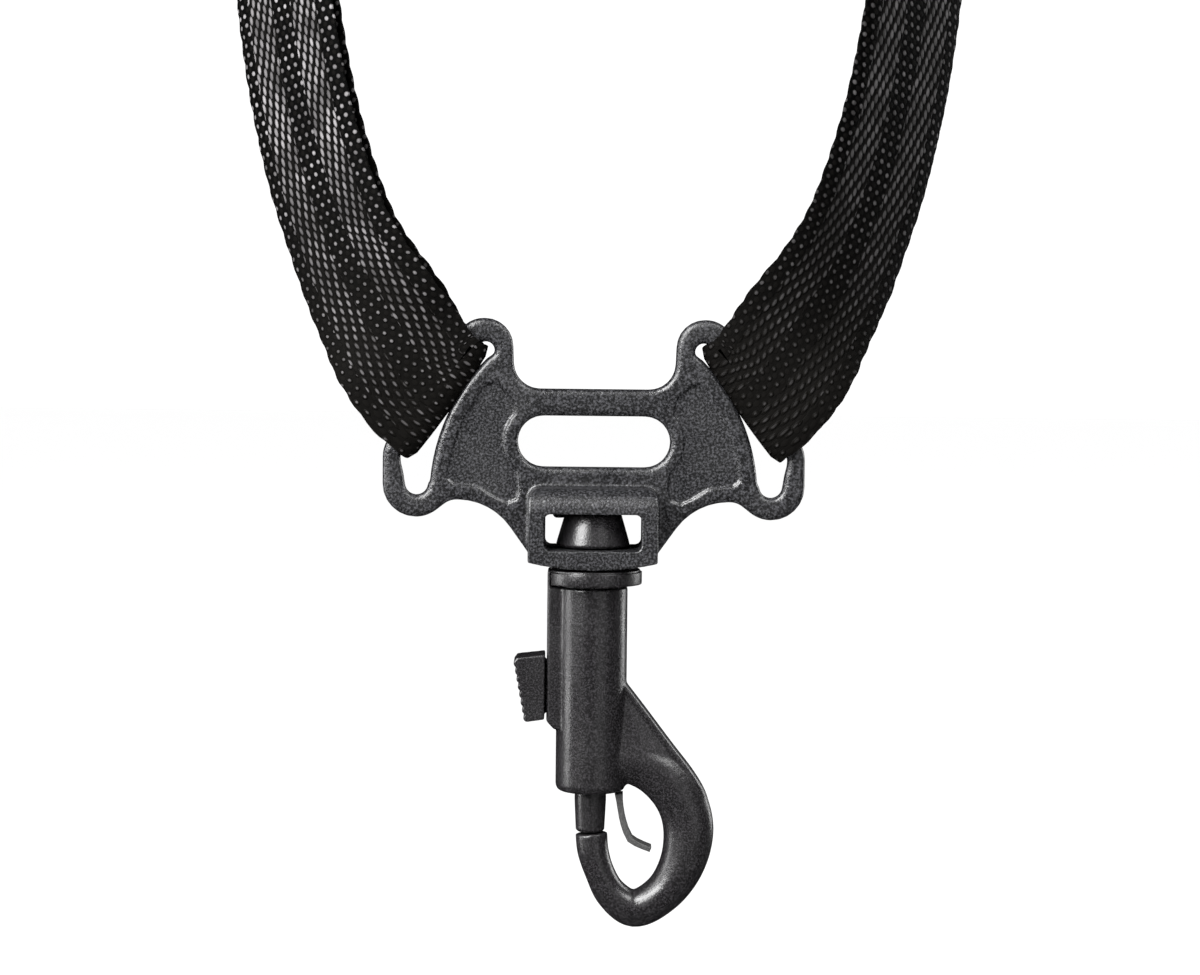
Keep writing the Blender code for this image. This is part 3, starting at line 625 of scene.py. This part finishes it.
def herringbone_webbing(sizes, colours):
    """Polypropylene yarn woven as herringbone webbing: a highlight is painted on each float's crown, and the
    valleys are painted near-black as shade. The twill turns round in each zone, and the floats look short in
    one and long in the next."""
    material, tree = blank_material("woven_polypropylene_herringbone")
    uv = node(tree, "ShaderNodeUVMap", uv_map="weave")
    way = node(tree, "ShaderNodeSeparateXYZ", {0: uv})
    # Yarns aren't laid dead straight: they wander by about 0.1 mm over 5 mm.
    wander = node(tree, "ShaderNodeTexNoise", {0: uv, 2: 0.2, 3: 1.0}, noise_dimensions="2D")
    across = maths(tree, "MULTIPLY_ADD", wander, 0.5, way.outputs[0])
    across = maths(tree, "SUBTRACT", across, 0.25)
    along = way.outputs[1]
    # Long floats fill two zones, halfway between the middle and the edges. Short floats fill the rest.
    period = (sizes.long_zone + sizes.short_zone) / MM
    start = (sizes.webbing_width - sizes.short_zone) / 2 / MM - sizes.long_zone / MM
    phase = maths(tree, "SUBTRACT", across, start)
    phase = maths(tree, "FLOORED_MODULO", phase, period)
    rope = maths(tree, "LESS_THAN", phase, sizes.long_zone / MM)
    # How floats lie, as (short, long) shares of a column or a row: the step aside from row to row, the lean
    # against it, and half their length and width.
    side, lean, reach, breadth = (
        maths(tree, "MULTIPLY_ADD", rope, long - short, short)
        for short, long in ((-0.21, 0.35), (-0.1, 0.24), (0.3, 0.6), (0.29, 0.35))
    )
    # Long floats overlap like the plies of a rope: one's end lies on a slant beside the next one's start.
    slant = maths(tree, "MULTIPLY", rope, 0.7)
    slant = maths(tree, "MULTIPLY", slant, across)

    def floats(offset):
        """One set of floats: its rounded relief, and its cell's number."""
        level = maths(tree, "MULTIPLY_ADD", along, MM / sizes.pick, offset)
        rows = maths(tree, "MULTIPLY_ADD", slant, MM / sizes.column, level)
        row = maths(tree, "FLOOR", rows)
        y = maths(tree, "FRACT", rows)
        y = maths(tree, "SUBTRACT", y, 0.5)
        columns = maths(tree, "MULTIPLY_ADD", across, MM / sizes.column, offset)
        step = maths(tree, "MULTIPLY", level, side)
        columns = maths(tree, "SUBTRACT", columns, step)
        column = maths(tree, "FLOOR", columns)
        x = maths(tree, "FRACT", columns)
        x = maths(tree, "SUBTRACT", x, 0.5)
        x = maths(tree, "MULTIPLY_ADD", y, lean, x)
        x = maths(tree, "DIVIDE", x, breadth)
        y = maths(tree, "DIVIDE", y, reach)
        y = maths(tree, "POWER", y, 2.0)
        away = maths(tree, "MULTIPLY_ADD", x, x, y)
        height = maths(tree, "SUBTRACT", 1.0, away)
        dome = maths(tree, "MAXIMUM", height, 0.0)
        dome = maths(tree, "POWER", dome, 0.5)
        return dome, node(tree, "ShaderNodeCombineXYZ", {0: column, 1: row, 2: rope})

    top, cell = floats(0.0)
    under = floats(0.5)[0]
    # No two floats are packed alike.
    chance = node(tree, "ShaderNodeTexWhiteNoise", {0: cell}, noise_dimensions="3D").outputs[0]
    # Filaments run along the floats, drawn about 0.2 mm apart so that they show.
    strands = node(tree, "ShaderNodeMapping", {0: uv, 3: (5.0, 0.8, 1.0)})
    strands = node(tree, "ShaderNodeTexNoise", {0: strands, 2: 1.0, 3: 2.0}, noise_dimensions="2D")
    # Slow patches where the floats lie flatter, about 9 mm across.
    patch = node(tree, "ShaderNodeTexNoise", {0: uv, 2: 0.11, 3: 1.0}, noise_dimensions="2D")
    # Painted shade towards the yoke: lower down, the painted highlight covers less of each float and is
    # dimmer.
    where = node(tree, "ShaderNodeSeparateXYZ", {0: node(tree, "ShaderNodeTexCoord").outputs["Object"]})
    low, high = (place((0, 0, height)).z for height in (SHADE_DEEPEST_AT, SHADE_GONE_AT))
    painted_height_light = remap(tree, where.outputs[2], low, high, 0.35, 1.0)
    shine_from = maths(tree, "MULTIPLY_ADD", painted_height_light, -0.7, 1.1)
    # Mask of the painted highlight: the crown of each float.
    glint = remap(tree, top, shine_from, 0.99, 0.0, 1.0, interpolation_type="SMOOTHSTEP")
    lively = remap(tree, chance, 0.0, 1.0, 0.45, 1.0)
    flat = remap(tree, patch, 0.35, 0.6, 0.45, 1.0)
    # Where a zone of long floats starts, the yarns dive under: no highlight is painted there, which leaves a
    # dark line along the webbing.
    turning = maths(tree, "PINGPONG", phase, sizes.long_zone / MM, 0.0)
    turning = remap(tree, turning, 0.05, 0.35, 0.0, 1.0)
    # Painted shade: the half that comes from the right bar, turned away from the key lamp, gets a dimmer
    # painted highlight.
    painted_side_light = remap(tree, along, SIDE_SHADE_UNTIL, SIDE_SHADE_GONE_FROM, 0.32, 1.0)
    # Each mask scales the painted highlight.
    for dulled in (lively, flat, painted_height_light, turning, painted_side_light):
        glint = maths(tree, "MULTIPLY", glint, dulled)
    # Lower floats show at 0.6 through the painted shade in the valleys.
    dim = maths(tree, "MULTIPLY", under, 0.6)
    body = maths(tree, "MAXIMUM", top, dim)
    # Towards the yoke the valleys take the float colour; higher up they take their painted shade.
    yarn, painted_valley_shade = opaque(colours.yarn_float), opaque(colours.yarn_valley_painted_shade)
    shade = mixed(tree, painted_height_light, yarn, painted_valley_shade)
    shade = mixed(tree, body, shade, yarn)
    # The painted highlight goes into the base colour over each crown.
    shade = mixed(tree, glint, shade, opaque(colours.yarn_painted_glint))
    relief = maths(tree, "MULTIPLY_ADD", under, 0.3, top)
    relief = maths(tree, "MULTIPLY_ADD", strands, 0.2, relief)
    bump = node(tree, "ShaderNodeBump", {"Strength": 1.0, "Distance": 0.0003, "Height": relief})
    rough = remap(tree, top, 0.0, 0.9, 0.7, 0.36)
    return surfaced(material, {
        "Base Color": shade, "Roughness": rough, "Normal": bump, "IOR": 1.49,
        "Specular IOR Level": 0.02,
    })


def moulded_plastic(name, base, painted_grain_sparkle, grain_size, roughness, relief):
    """Black plastic from a textured mould. The mould's pits leave fine grains, whose sparkle is painted as
    pale flecks, and a paler highlight is painted along its outside edges."""
    material, tree = blank_material(name)
    where = node(tree, "ShaderNodeTexCoord").outputs["Object"]
    pits = node(tree, "ShaderNodeTexNoise", {0: where, 2: 1 / grain_size, 3: 2.0, 4: 0.5})
    waves = node(tree, "ShaderNodeTexNoise", {0: where, 2: 1 / 0.0011, 3: 2.0})
    cloud = node(tree, "ShaderNodeTexNoise", {0: where, 2: 1 / 0.009, 3: 2.0})
    # Painted highlight: pale flecks on the raised pits stand for their sparkle.
    painted_sparkle_specks = remap(tree, pits, 0.44, 0.74, 0.0, 0.36)
    # Painted highlight: outside edges, found by their pointiness, are drawn a little paler.
    edge = node(tree, "ShaderNodeNewGeometry").outputs["Pointiness"]
    painted_edge_highlight = remap(tree, edge, 0.54, 0.66, 0.0, 0.2)
    # The painted sparkle and the painted edge highlight lighten the base together.
    pale = maths(tree, "ADD", painted_sparkle_specks, painted_edge_highlight, use_clamp=True)
    shade = mixed(tree, pale, opaque(base), opaque(painted_grain_sparkle))
    rough = remap(tree, cloud, 0.3, 0.7, roughness - 0.06, roughness + 0.08)
    height = maths(tree, "MULTIPLY_ADD", waves, 0.8, pits)
    bump = node(tree, "ShaderNodeBump", {"Strength": relief, "Distance": 0.0001, "Height": height})
    return surfaced(material, {
        "Base Color": shade, "Roughness": rough, "Normal": bump, "IOR": 1.5,
        "Specular IOR Level": 0.5,
    })


def bonded_thread(colours):
    """Bonded nylon sewing thread: twisted plies, about 0.5 mm a turn, with a slight shine."""
    material, tree = blank_material("bonded_nylon_thread")
    where = node(tree, "ShaderNodeTexCoord").outputs["Object"]
    twist = node(tree, "ShaderNodeTexWave", {0: where, 1: 1 / 0.0016, 2: 1.5}, bands_direction="DIAGONAL")
    bump = node(tree, "ShaderNodeBump", {"Strength": 0.7, "Distance": 0.00008, "Height": twist})
    # Painted sheen: the raised plies of the twist are drawn paler.
    shade = mixed(tree, twist.outputs[1], opaque(colours.thread), opaque(linear("#2d2d2f")))
    return surfaced(material, {
        "Base Color": shade, "Roughness": 0.45, "Normal": bump, "IOR": 1.53, "Sheen Weight": 0.1,
    })


def drawn_spring_steel(colours):
    """Drawn spring wire: bright steel with faint marks, about 0.3 mm, left by the die."""
    material, tree = blank_material("drawn_spring_steel")
    where = node(tree, "ShaderNodeTexCoord").outputs["Object"]
    marks = node(tree, "ShaderNodeTexNoise", {0: where, 2: 1 / 0.0003, 3: 2.0})
    rough = remap(tree, marks, 0.3, 0.7, 0.22, 0.38)
    return surfaced(material, {
        "Base Color": opaque(colours.steel), "Metallic": 1.0, "Roughness": rough,
    })


def kept(name, make):
    """A material by name, made once."""
    return bpy.data.materials.get(name) or make()


def webbing_material(scene):
    """The webbing's finish."""
    sizes, colours = scene.strap_sizes, scene.strap_colours
    return kept("woven_polypropylene_herringbone", lambda: herringbone_webbing(sizes, colours))


def yoke_material(scene):
    """Nylon from a spark-eroded mould: coarse texture, about 0.4 mm, and a dry shine."""
    c = scene.strap_colours
    name = "nylon_spark_textured_moulding"
    return kept(name, lambda: moulded_plastic(name, c.moulding, c.moulding_painted_sparkle, 0.0004, 0.32, 0.8))


def tongue_material(scene):
    """The same acetal as the hook, thin, with a paler tone painted for the light that falls on it."""
    name = "acetal_rubbed_moulding"
    # Painted light: the tongue's base is paler than the hook's because it faces the lamps.
    return kept(name, lambda: moulded_plastic(name, linear("#2a2a2a"), linear("#5c5b5a"), 0.0002, 0.42, 0.3))


def hook_material(scene):
    """Acetal from a satin mould: finer texture, about 0.3 mm, and a smoother shine."""
    c = scene.strap_colours
    name = "acetal_satin_moulding"
    return kept(name, lambda: moulded_plastic(name, c.hook, c.hook_painted_sparkle, 0.00032, 0.31, 0.4))


# ---------------------------------------------------------------- webbing


def webbing_piece(name, way, sizes):
    """Webbing along frames, with round scalloped selvedges and a weave map in millimetres."""
    half = sizes.webbing_width / MM / 2
    thick = sizes.webbing_thickness / MM
    outward = fold_axes()[1]
    scallop, depth = sizes.scallop / MM, sizes.scallop_depth / MM
    count = 15  # points across each face
    stagger = 1.7  # the two selvedges' scallops aren't level
    run, rings, marks = 0.0, [], []
    for i, (middle, width, normal) in enumerate(way):
        if i:
            run += (middle - way[i - 1][0]).length
        ring, mark = [], []
        # Round the side bar, the middle of the width bows towards the yoke.
        bow = max(normal.dot(Vector((math.copysign(outward.x, middle.x), 0, outward.z))), 0) ** 2
        bow = normal * (-BOW * bow if middle.z < BOW_BELOW else 0)
        for side in (1, -1):
            for k in range(count):
                t = 2 * k / (count - 1) - 1
                notch = abs(math.sin(math.pi * (run + (stagger if t * side > 0 else 0)) / scallop))
                reach = half - depth * (1 - notch) * abs(t) ** 8
                crown = thick / 2 * (1 - 0.75 * max(0, (abs(t) - 0.92) / 0.08) ** 2)
                ring.append(middle + width * (t * side * reach) + normal * (crown * side) + bow * (1 - t * t))
                mark.append((t * side * half + half, run))
        rings.append(ring)
        marks.append(mark)
    shape = skin(rings)
    item = new_sheet(name, shape)
    layer = item.data.uv_layers.new(name="weave")
    flat = [m for mark in marks for m in mark]
    for loop in item.data.loops:
        layer.data[loop.index].uv = flat[loop.vertex_index]
    item.data.set_sharp_from_angle(angle=math.radians(60))
    return item, run


class STRAP_OT_webbing(bpy.types.Operator):
    """Weaves the strap, and the doubled run from the left bar to the slide"""

    bl_idname = "strap.webbing"
    bl_label = "Webbing"

    def execute(self, context):
        sizes = context.scene.strap_sizes
        step = sizes.station / MM
        strap, run = webbing_piece("strap_webbing", main_run(step), sizes)
        finish_piece(strap, webbing_material(context.scene), "strap", "webbing", "webbing")
        back, run = webbing_piece("strap_webbing_return", return_run(step), sizes)
        finish_piece(back, webbing_material(context.scene), None, "webbing", "webbing_return")
        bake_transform(back)
        return {"FINISHED"}


# ---------------------------------------------------------------- mouldings


class STRAP_OT_yoke(bpy.types.Operator):
    """Moulds the yoke with its three slots, sunken panels and swivel housing"""

    bl_idname = "strap.yoke"
    bl_label = "Yoke"

    def execute(self, context):
        yoke = merged_copy("strap_yoke", "yoke")
        stub = turned("gate_stub", [(0.9, -14.0), (1.25, -13.5), (1.25, -12.2)], 24)
        edit(stub)
        bpy.ops.transform.translate(value=Vector((-6.1, 2.2, 0)) * MM)
        close_edit()
        joined(yoke, stub)
        mould(yoke, context.scene.strap_sizes.fillet, 3)
        finish_piece(yoke, yoke_material(context.scene), "strap", "yoke_plastic", "yoke")
        return {"FINISHED"}


class STRAP_OT_swivel_stud(bpy.types.Operator):
    """Turns the swivel stud: plug, collar, stem and arrowhead"""

    bl_idname = "strap.swivel_stud"
    bl_label = "Swivel Stud"

    def execute(self, context):
        rows = [
            (4.2, -27.7), (4.2, -26.1), (6.0, -26.1), (6.0, -25.6), (8.85, -25.6), (8.9, -25.3), (8.9, -23.4),
            (8.55, -23.35), (8.55, -23.0), (3.3, -23.0), (3.3, -18.85), (6.3, -18.85), (6.6, -18.45),
            (6.55, -18.1), (5.15, -13.3), (4.7, -12.9),
        ]
        stud = turned("strap_swivel_stud", rows, 128)
        edit(stud)
        bpy.ops.mesh.bisect(plane_co=place((-7.45, 0, 0)), plane_no=(1, 0, 0), use_fill=True,
                            clear_inner=True)
        close_edit()
        soften(stud, 0.22, 3, 25)
        finish_piece(stud, hook_material(context.scene), "hook", "hook_plastic", "swivel_stud")
        return {"FINISHED"}


class STRAP_OT_hook_body(bpy.types.Operator):
    """Moulds the hook body: tube, side rail, hooked arm, web and rim"""

    bl_idname = "strap.hook_body"
    bl_label = "Hook Body"

    def execute(self, context):
        radius = 6.35
        rows = [(5.2, TUBE_BOTTOM), (5.95, TUBE_BOTTOM + 0.35), (radius, TUBE_BOTTOM + 1.1),
                (radius, TUBE_TOP)]
        hook = turned("strap_hook_body", rows, 128)
        rail = block("rail", (RAIL_FACE, -3.3, -50.4), (-5.0, 3.3, TUBE_TOP))
        edit(rail)
        pick(rail, "faces", lambda p: p.z < -50.3)
        extrude((0, 0, -1.5), (-5.0, 0, -51.9), (0.55, 1, 1))
        pick(rail, "faces", lambda p: p.z > TUBE_TOP - 0.1)
        extrude((0, 0, 0), (RAIL_FACE, 0, TUBE_TOP), (0.19, 1, 1))
        extrude((0, 0, COLLAR_TOP - TUBE_TOP), (RAIL_FACE, 0, COLLAR_TOP))
        close_edit()
        arm = swept("arm", ARM, 48)
        web = block("web", (4.4, -1.9, -57.2), (6.0, 1.9, -44.1))
        edit(web)
        pick(web, "faces", lambda p: p.x > 5.9)
        top, bottom, x = -44.1, -57.2, 6.0
        steps = [(10.8, -50.5, -59.0), (14.7, -55.6, -62.3), (17.6, -59.4, -67.0)]
        for x_next, top_next, bottom_next in steps:
            rise = (top_next + bottom_next - top - bottom) / 2
            extrude((x_next - x, 0, rise), (x_next, 0, (top_next + bottom_next) / 2),
                    (1, 1, (top_next - bottom_next) / (top - bottom)))
            top, bottom, x = top_next, bottom_next, x_next
        # The web thickens towards the crown of the arm, so it runs into the arm without an edge.
        pick(web, "verts", lambda p: p.z < -57 and p.z < -48.6 - 0.9 * p.x)
        bpy.ops.transform.resize(value=(1, 2.05, 1), center_override=place((0, 0, 0)))
        close_edit()
        rim = swept("rim", RIM, 24)
        bore_rows = [(3.16, TUBE_BOTTOM - 1), (3.16, -59.0), (4.5, -59.0), (4.5, TUBE_TOP + 1)]
        for part in (arm, web, rim, hook):
            cut(part, turned("bore", bore_rows, 64))
        joined(hook, rail, arm, web, rim)
        mould(hook, context.scene.strap_sizes.fillet, 4)
        cut(hook, block("rail_slot", (RAIL_FACE - 1, -1.5, -49.4), (-4.0, 1.5, TUBE_TOP - 1)))
        bpy.ops.object.shade_smooth_by_angle(angle=math.radians(60))
        finish_piece(hook, hook_material(context.scene), "hook", "hook_plastic", "hook_body")
        return {"FINISHED"}


class STRAP_OT_latch_bolt(bpy.types.Operator):
    """Moulds the latch bolt: shaft, piston, arm and ribbed thumb tab"""

    bl_idname = "strap.latch_bolt"
    bl_label = "Latch Bolt"

    def execute(self, context):
        rows = [(2.2, -70.8), (2.6, -70.4), (2.86, -65.0), (2.86, -51.0), (4.2, -51.0), (4.2, -38.6),
                (1.9, -38.6), (1.9, -36.6)]
        bolt = turned("strap_latch_bolt", rows)
        arm = block("bolt_arm", (RAIL_FACE - 1.5, -1.2, -49.1), (-2.5, 1.2, -39.5))
        near, top, bottom = RAIL_FACE - 0.35, Vector((-13.6, -39.2)), Vector((-11.5, -50.5))
        tab = block("thumb_tab", (top.x, -3.9, bottom.y), (near, 3.9, -38.3))
        edit(tab)
        pick(tab, "verts", lambda p: p.x < near - 1 and p.z > -40)
        bpy.ops.transform.translate(value=(0, 0, -0.6 * MM))
        pick(tab, "verts", lambda p: p.x < near - 1 and p.z < -50)
        bpy.ops.transform.translate(value=((bottom.x - top.x) * MM, 0, 0))
        pick(tab, "verts", lambda p: p.x > near - 1 and p.z < -50)
        bpy.ops.transform.translate(value=(0, 0, 0.45 * MM))
        close_edit()
        ribs, count = [], 8
        for i in range(count):
            x, z = top.lerp(bottom, (i + 0.5) / count)
            bpy.ops.object.select_all(action="DESELECT")
            bpy.ops.mesh.primitive_cylinder_add(
                vertices=24, radius=0.72 * MM, depth=7.8 * MM, location=place((x + 0.12, 0, z)),
                rotation=(math.pi / 2, 0, 0),
            )
            ribs.append(added("thumb_rib"))
        joined(bolt, arm, tab, *ribs)
        mould(bolt, 0.0002, 2)
        finish_piece(bolt, hook_material(context.scene), "latch", "hook_plastic", "latch_bolt")
        return {"FINISHED"}


class STRAP_OT_tongue_and_spring(bpy.types.Operator):
    """Moulds the thin ring tongue and winds the bolt's spring"""

    bl_idname = "strap.tongue_and_spring"
    bl_label = "Ring Tongue and Spring"

    def execute(self, context):
        tongue = merged_copy("strap_ring_tongue", "ring_tongue")
        soften(tongue, 0.2, 3, 40)
        finish_piece(tongue, tongue_material(context.scene), "tongue", "hook_plastic", "ring_tongue")
        low, high, turns = -38.05, -28.25, 5
        bpy.ops.object.select_all(action="DESELECT")
        bpy.ops.mesh.primitive_circle_add(vertices=12, radius=0.25 * MM, location=place((0, 0, low)),
                                          rotation=(math.pi / 2, 0, 0))
        spring = bpy.context.object
        spring.name = "strap_bolt_spring"
        bpy.ops.object.transform_apply(location=False, rotation=True, scale=True)
        edit(spring)
        bpy.ops.transform.translate(value=(3.2 * MM, 0, 0))
        bpy.ops.object.mode_set(mode="OBJECT")
        winding = spring.modifiers.new("winding", "SCREW")
        winding.iterations = turns
        winding.screw_offset = (high - low) / turns * MM
        winding.steps = winding.render_steps = 36
        apply_modifiers(spring)
        bpy.ops.object.transform_apply(location=True, rotation=True, scale=True)
        edit(spring)
        bpy.ops.mesh.fill_holes(sides=0)
        close_edit()
        bpy.ops.object.shade_smooth_by_angle(angle=math.radians(50))
        steel = kept("drawn_spring_steel", lambda: drawn_spring_steel(context.scene.strap_colours))
        finish_piece(spring, steel, "hook", "spring_wire", "bolt_spring")
        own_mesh(spring)
        return {"FINISHED"}


class STRAP_OT_slide_adjuster(bpy.types.Operator):
    """Moulds the three-bar slide"""

    bl_idname = "strap.slide_adjuster"
    bl_label = "Slide Adjuster"

    def execute(self, context):
        slide = merged_copy("strap_slide_adjuster", "slide_adjuster")
        mould(slide, context.scene.strap_sizes.fillet, 4)
        finish_piece(slide, yoke_material(context.scene), "slide", "slide_plastic", "slide_adjuster")
        return {"FINISHED"}


# ---------------------------------------------------------------- sewing


def zigzag(name, at, drop, depth, sizes):
    """One bar tack's thread on one face: a pair of stitches sewn once and copied across the webbing."""
    middle, u, w, n = at
    wide, high, pairs = 20.6, 1.1, sizes.stitches // 2
    pitch = wide / pairs
    lean = math.atan2(pitch / 2, 2 * high)
    stitch = math.hypot(pitch / 2, 2 * high) * MM + sizes.thread * 0.7
    halves = []
    for i, side in enumerate((-1, 1)):
        bpy.ops.object.select_all(action="DESELECT")
        bpy.ops.mesh.primitive_cylinder_add(
            vertices=8, radius=sizes.thread / 2, depth=stitch, rotation=(math.pi / 2, 0, side * lean),
            location=((-wide / 2 + pitch * (0.25 + i / 2)) * MM, 0, 0),
        )
        halves.append(added(name))
    item = joined(*halves)
    row = item.modifiers.new("row of stitches", "ARRAY")
    row.count = pairs
    row.use_relative_offset = False
    row.use_constant_offset = True
    row.constant_offset_displace = (pitch * MM, 0, 0)
    apply_modifiers(item)
    turn = Matrix((w, u, n)).transposed().to_4x4()
    item.matrix_world = Matrix.Translation(place(middle - u * drop + n * depth)) @ turn
    bpy.ops.object.transform_apply(location=True, rotation=True, scale=True)
    edit(item)
    close_edit()
    bpy.ops.object.shade_smooth_by_angle(angle=math.radians(50))
    return item


class STRAP_OT_tacks(bpy.types.Operator):
    """Sews the bar tacks: a needle thread on one face and a bobbin thread on the other"""

    bl_idname = "strap.tacks"
    bl_label = "Bar Tacks"

    def execute(self, context):
        sizes = context.scene.strap_sizes
        material = kept("bonded_nylon_thread", lambda: bonded_thread(context.scene.strap_colours))
        face = HALF_THICK + sizes.thread / MM / 2
        middle, u, w, n = straight_frame(TAIL_LENGTH, 1)
        right = (middle + w * TAIL_SHIFT / 2, u, w, n)
        middle, u, w, n = straight_frame(slide_length(), -1)
        left = (middle + w * RETURN_SHIFT / 2, u, w, n)
        places = [
            ("end", right, "strap", (("upper", 6.0), ("lower", 20.0)), -face, PLY_STEP + face),
            ("slide", left, "slide", (("upper", 18.0), ("lower", 28.0)), RETURN_GAP - face,
             RETURN_GAP + PLY_STEP + face),
        ]
        for group, at, body, rows, front, back in places:
            for row, drop in rows:
                for thread, depth in (("needle", front), ("bobbin", back)):
                    cad = f"{group}_tack_{row}_{thread}_thread"
                    item = zigzag("strap_" + cad, at, drop, depth, sizes)
                    finish_piece(item, material, body, "thread", cad)
        return {"FINISHED"}


# ---------------------------------------------------------------- stage


class STRAP_OT_stage(bpy.types.Operator):
    """Sets a plain pale floor, soft lights and the camera"""

    bl_idname = "strap.stage"
    bl_label = "Stage"

    def execute(self, context):
        scene = context.scene
        low = CAD_BOX[0].z
        bpy.ops.object.select_all(action="DESELECT")
        bpy.ops.mesh.primitive_plane_add(size=12, location=(0, 0, low - 0.28))
        floor = context.object
        floor.name = "floor"
        floor.data.materials.append(surfaced(blank_material("painted_floor")[0], {
            "Base Color": opaque(scene.strap_colours.floor), "Roughness": 0.9, "Specular IOR Level": 0.1,
        }))
        # The pale surroundings light the black pieces softly. Only the soft boxes shine on them.
        world = bpy.data.worlds.new("studio")
        world.use_nodes = True
        world.node_tree.nodes["Background"].inputs[0].default_value = (1, 1, 1, 1)
        world.node_tree.nodes["Background"].inputs[1].default_value = 1.12
        world.cycles_visibility.glossy = False
        scene.world = world
        scene.view_settings.view_transform = "Standard"
        floor.visible_glossy = False
        middle, lamp_distance = place((0, 0, -8)), 0.8
        lights = [  # name, turn from the front towards the left, height angle, width, height, power
            ("key", 43, 34, 0.42, 0.7, 23.0),
            ("strip", 84, 10, 0.2, 0.8, 5.0),
            ("upper_right", -48, 48, 0.35, 0.35, 4.5),
            ("fill", -30, 5, 0.5, 0.7, 0.7),
            ("rim_right", -125, 15, 0.15, 0.8, 3.5),
        ]
        for name, turn, rise, wide, high, power in lights:
            turn, rise = math.radians(turn), math.radians(rise)
            level = Vector((-math.sin(turn), -math.cos(turn), 0))
            offset = level * math.cos(rise) + Vector((0, 0, math.sin(rise)))
            lamp = bpy.data.lights.new(name, "AREA")
            lamp.shape = "RECTANGLE"
            lamp.size, lamp.size_y = wide, high
            lamp.energy = power
            item = bpy.data.objects.new(name, lamp)
            item.location = middle + offset * lamp_distance
            item.rotation_euler = (-offset).to_track_quat("-Z", "Y").to_euler()
            scene.collection.objects.link(item)
        camera = bpy.data.cameras.new("camera")
        camera.sensor_width = 36
        view_distance, view_width = 0.75, 0.216
        camera.lens = camera.sensor_width * view_distance / view_width
        camera.clip_start = 0.01
        item = bpy.data.objects.new("camera", camera)
        scene.collection.objects.link(item)
        tilt = math.radians(4.5)
        back = Vector((0, -math.cos(tilt), math.sin(tilt)))
        side = Vector((1, 0, 0))
        up = back.cross(side)
        target = place(side * 1.17 + up * -8.28)
        turn = Matrix((side, up, back)).transposed() @ Matrix.Rotation(math.radians(0.6), 3, "Z")
        item.matrix_world = Matrix.Translation(target + back * view_distance) @ turn.to_4x4()
        scene.camera = item
        return {"FINISHED"}


# ---------------------------------------------------------------- panel


PIECES = (
    STRAP_OT_webbing,
    STRAP_OT_yoke,
    STRAP_OT_swivel_stud,
    STRAP_OT_hook_body,
    STRAP_OT_latch_bolt,
    STRAP_OT_tongue_and_spring,
    STRAP_OT_slide_adjuster,
    STRAP_OT_tacks,
    STRAP_OT_stage,
)


class STRAP_PT_panel(bpy.types.Panel):
    """Lists the strap's pieces, sizes and colours"""

    bl_label = "Neck Strap"
    bl_idname = "STRAP_PT_panel"
    bl_space_type = "VIEW_3D"
    bl_region_type = "UI"
    bl_category = "Neck Strap"

    def draw(self, context):
        for piece in PIECES:
            self.layout.operator(piece.bl_idname)
        for group in (context.scene.strap_sizes, context.scene.strap_colours):
            box = self.layout.box()
            for name in group.bl_rna.properties.keys():
                if name not in ("rna_type", "name"):
                    box.prop(group, name)


CLASSES = (StrapSizes, StrapColours, *PIECES, STRAP_PT_panel)


def register():
    """Adds the classes and the scene's properties."""
    for item in CLASSES:
        bpy.utils.register_class(item)
    bpy.types.Scene.strap_sizes = PointerProperty(type=StrapSizes)
    bpy.types.Scene.strap_colours = PointerProperty(type=StrapColours)


def unregister():
    """Removes what register added."""
    del bpy.types.Scene.strap_colours
    del bpy.types.Scene.strap_sizes
    for item in reversed(CLASSES):
        bpy.utils.unregister_class(item)


def main():
    """Builds every piece in order."""
    register()
    bpy.ops.strap.stage()
    bpy.ops.strap.webbing()
    bpy.ops.strap.yoke()
    bpy.ops.strap.swivel_stud()
    bpy.ops.strap.hook_body()
    bpy.ops.strap.latch_bolt()
    bpy.ops.strap.tongue_and_spring()
    bpy.ops.strap.slide_adjuster()
    bpy.ops.strap.tacks()


if __name__ == "__main__":
    main()
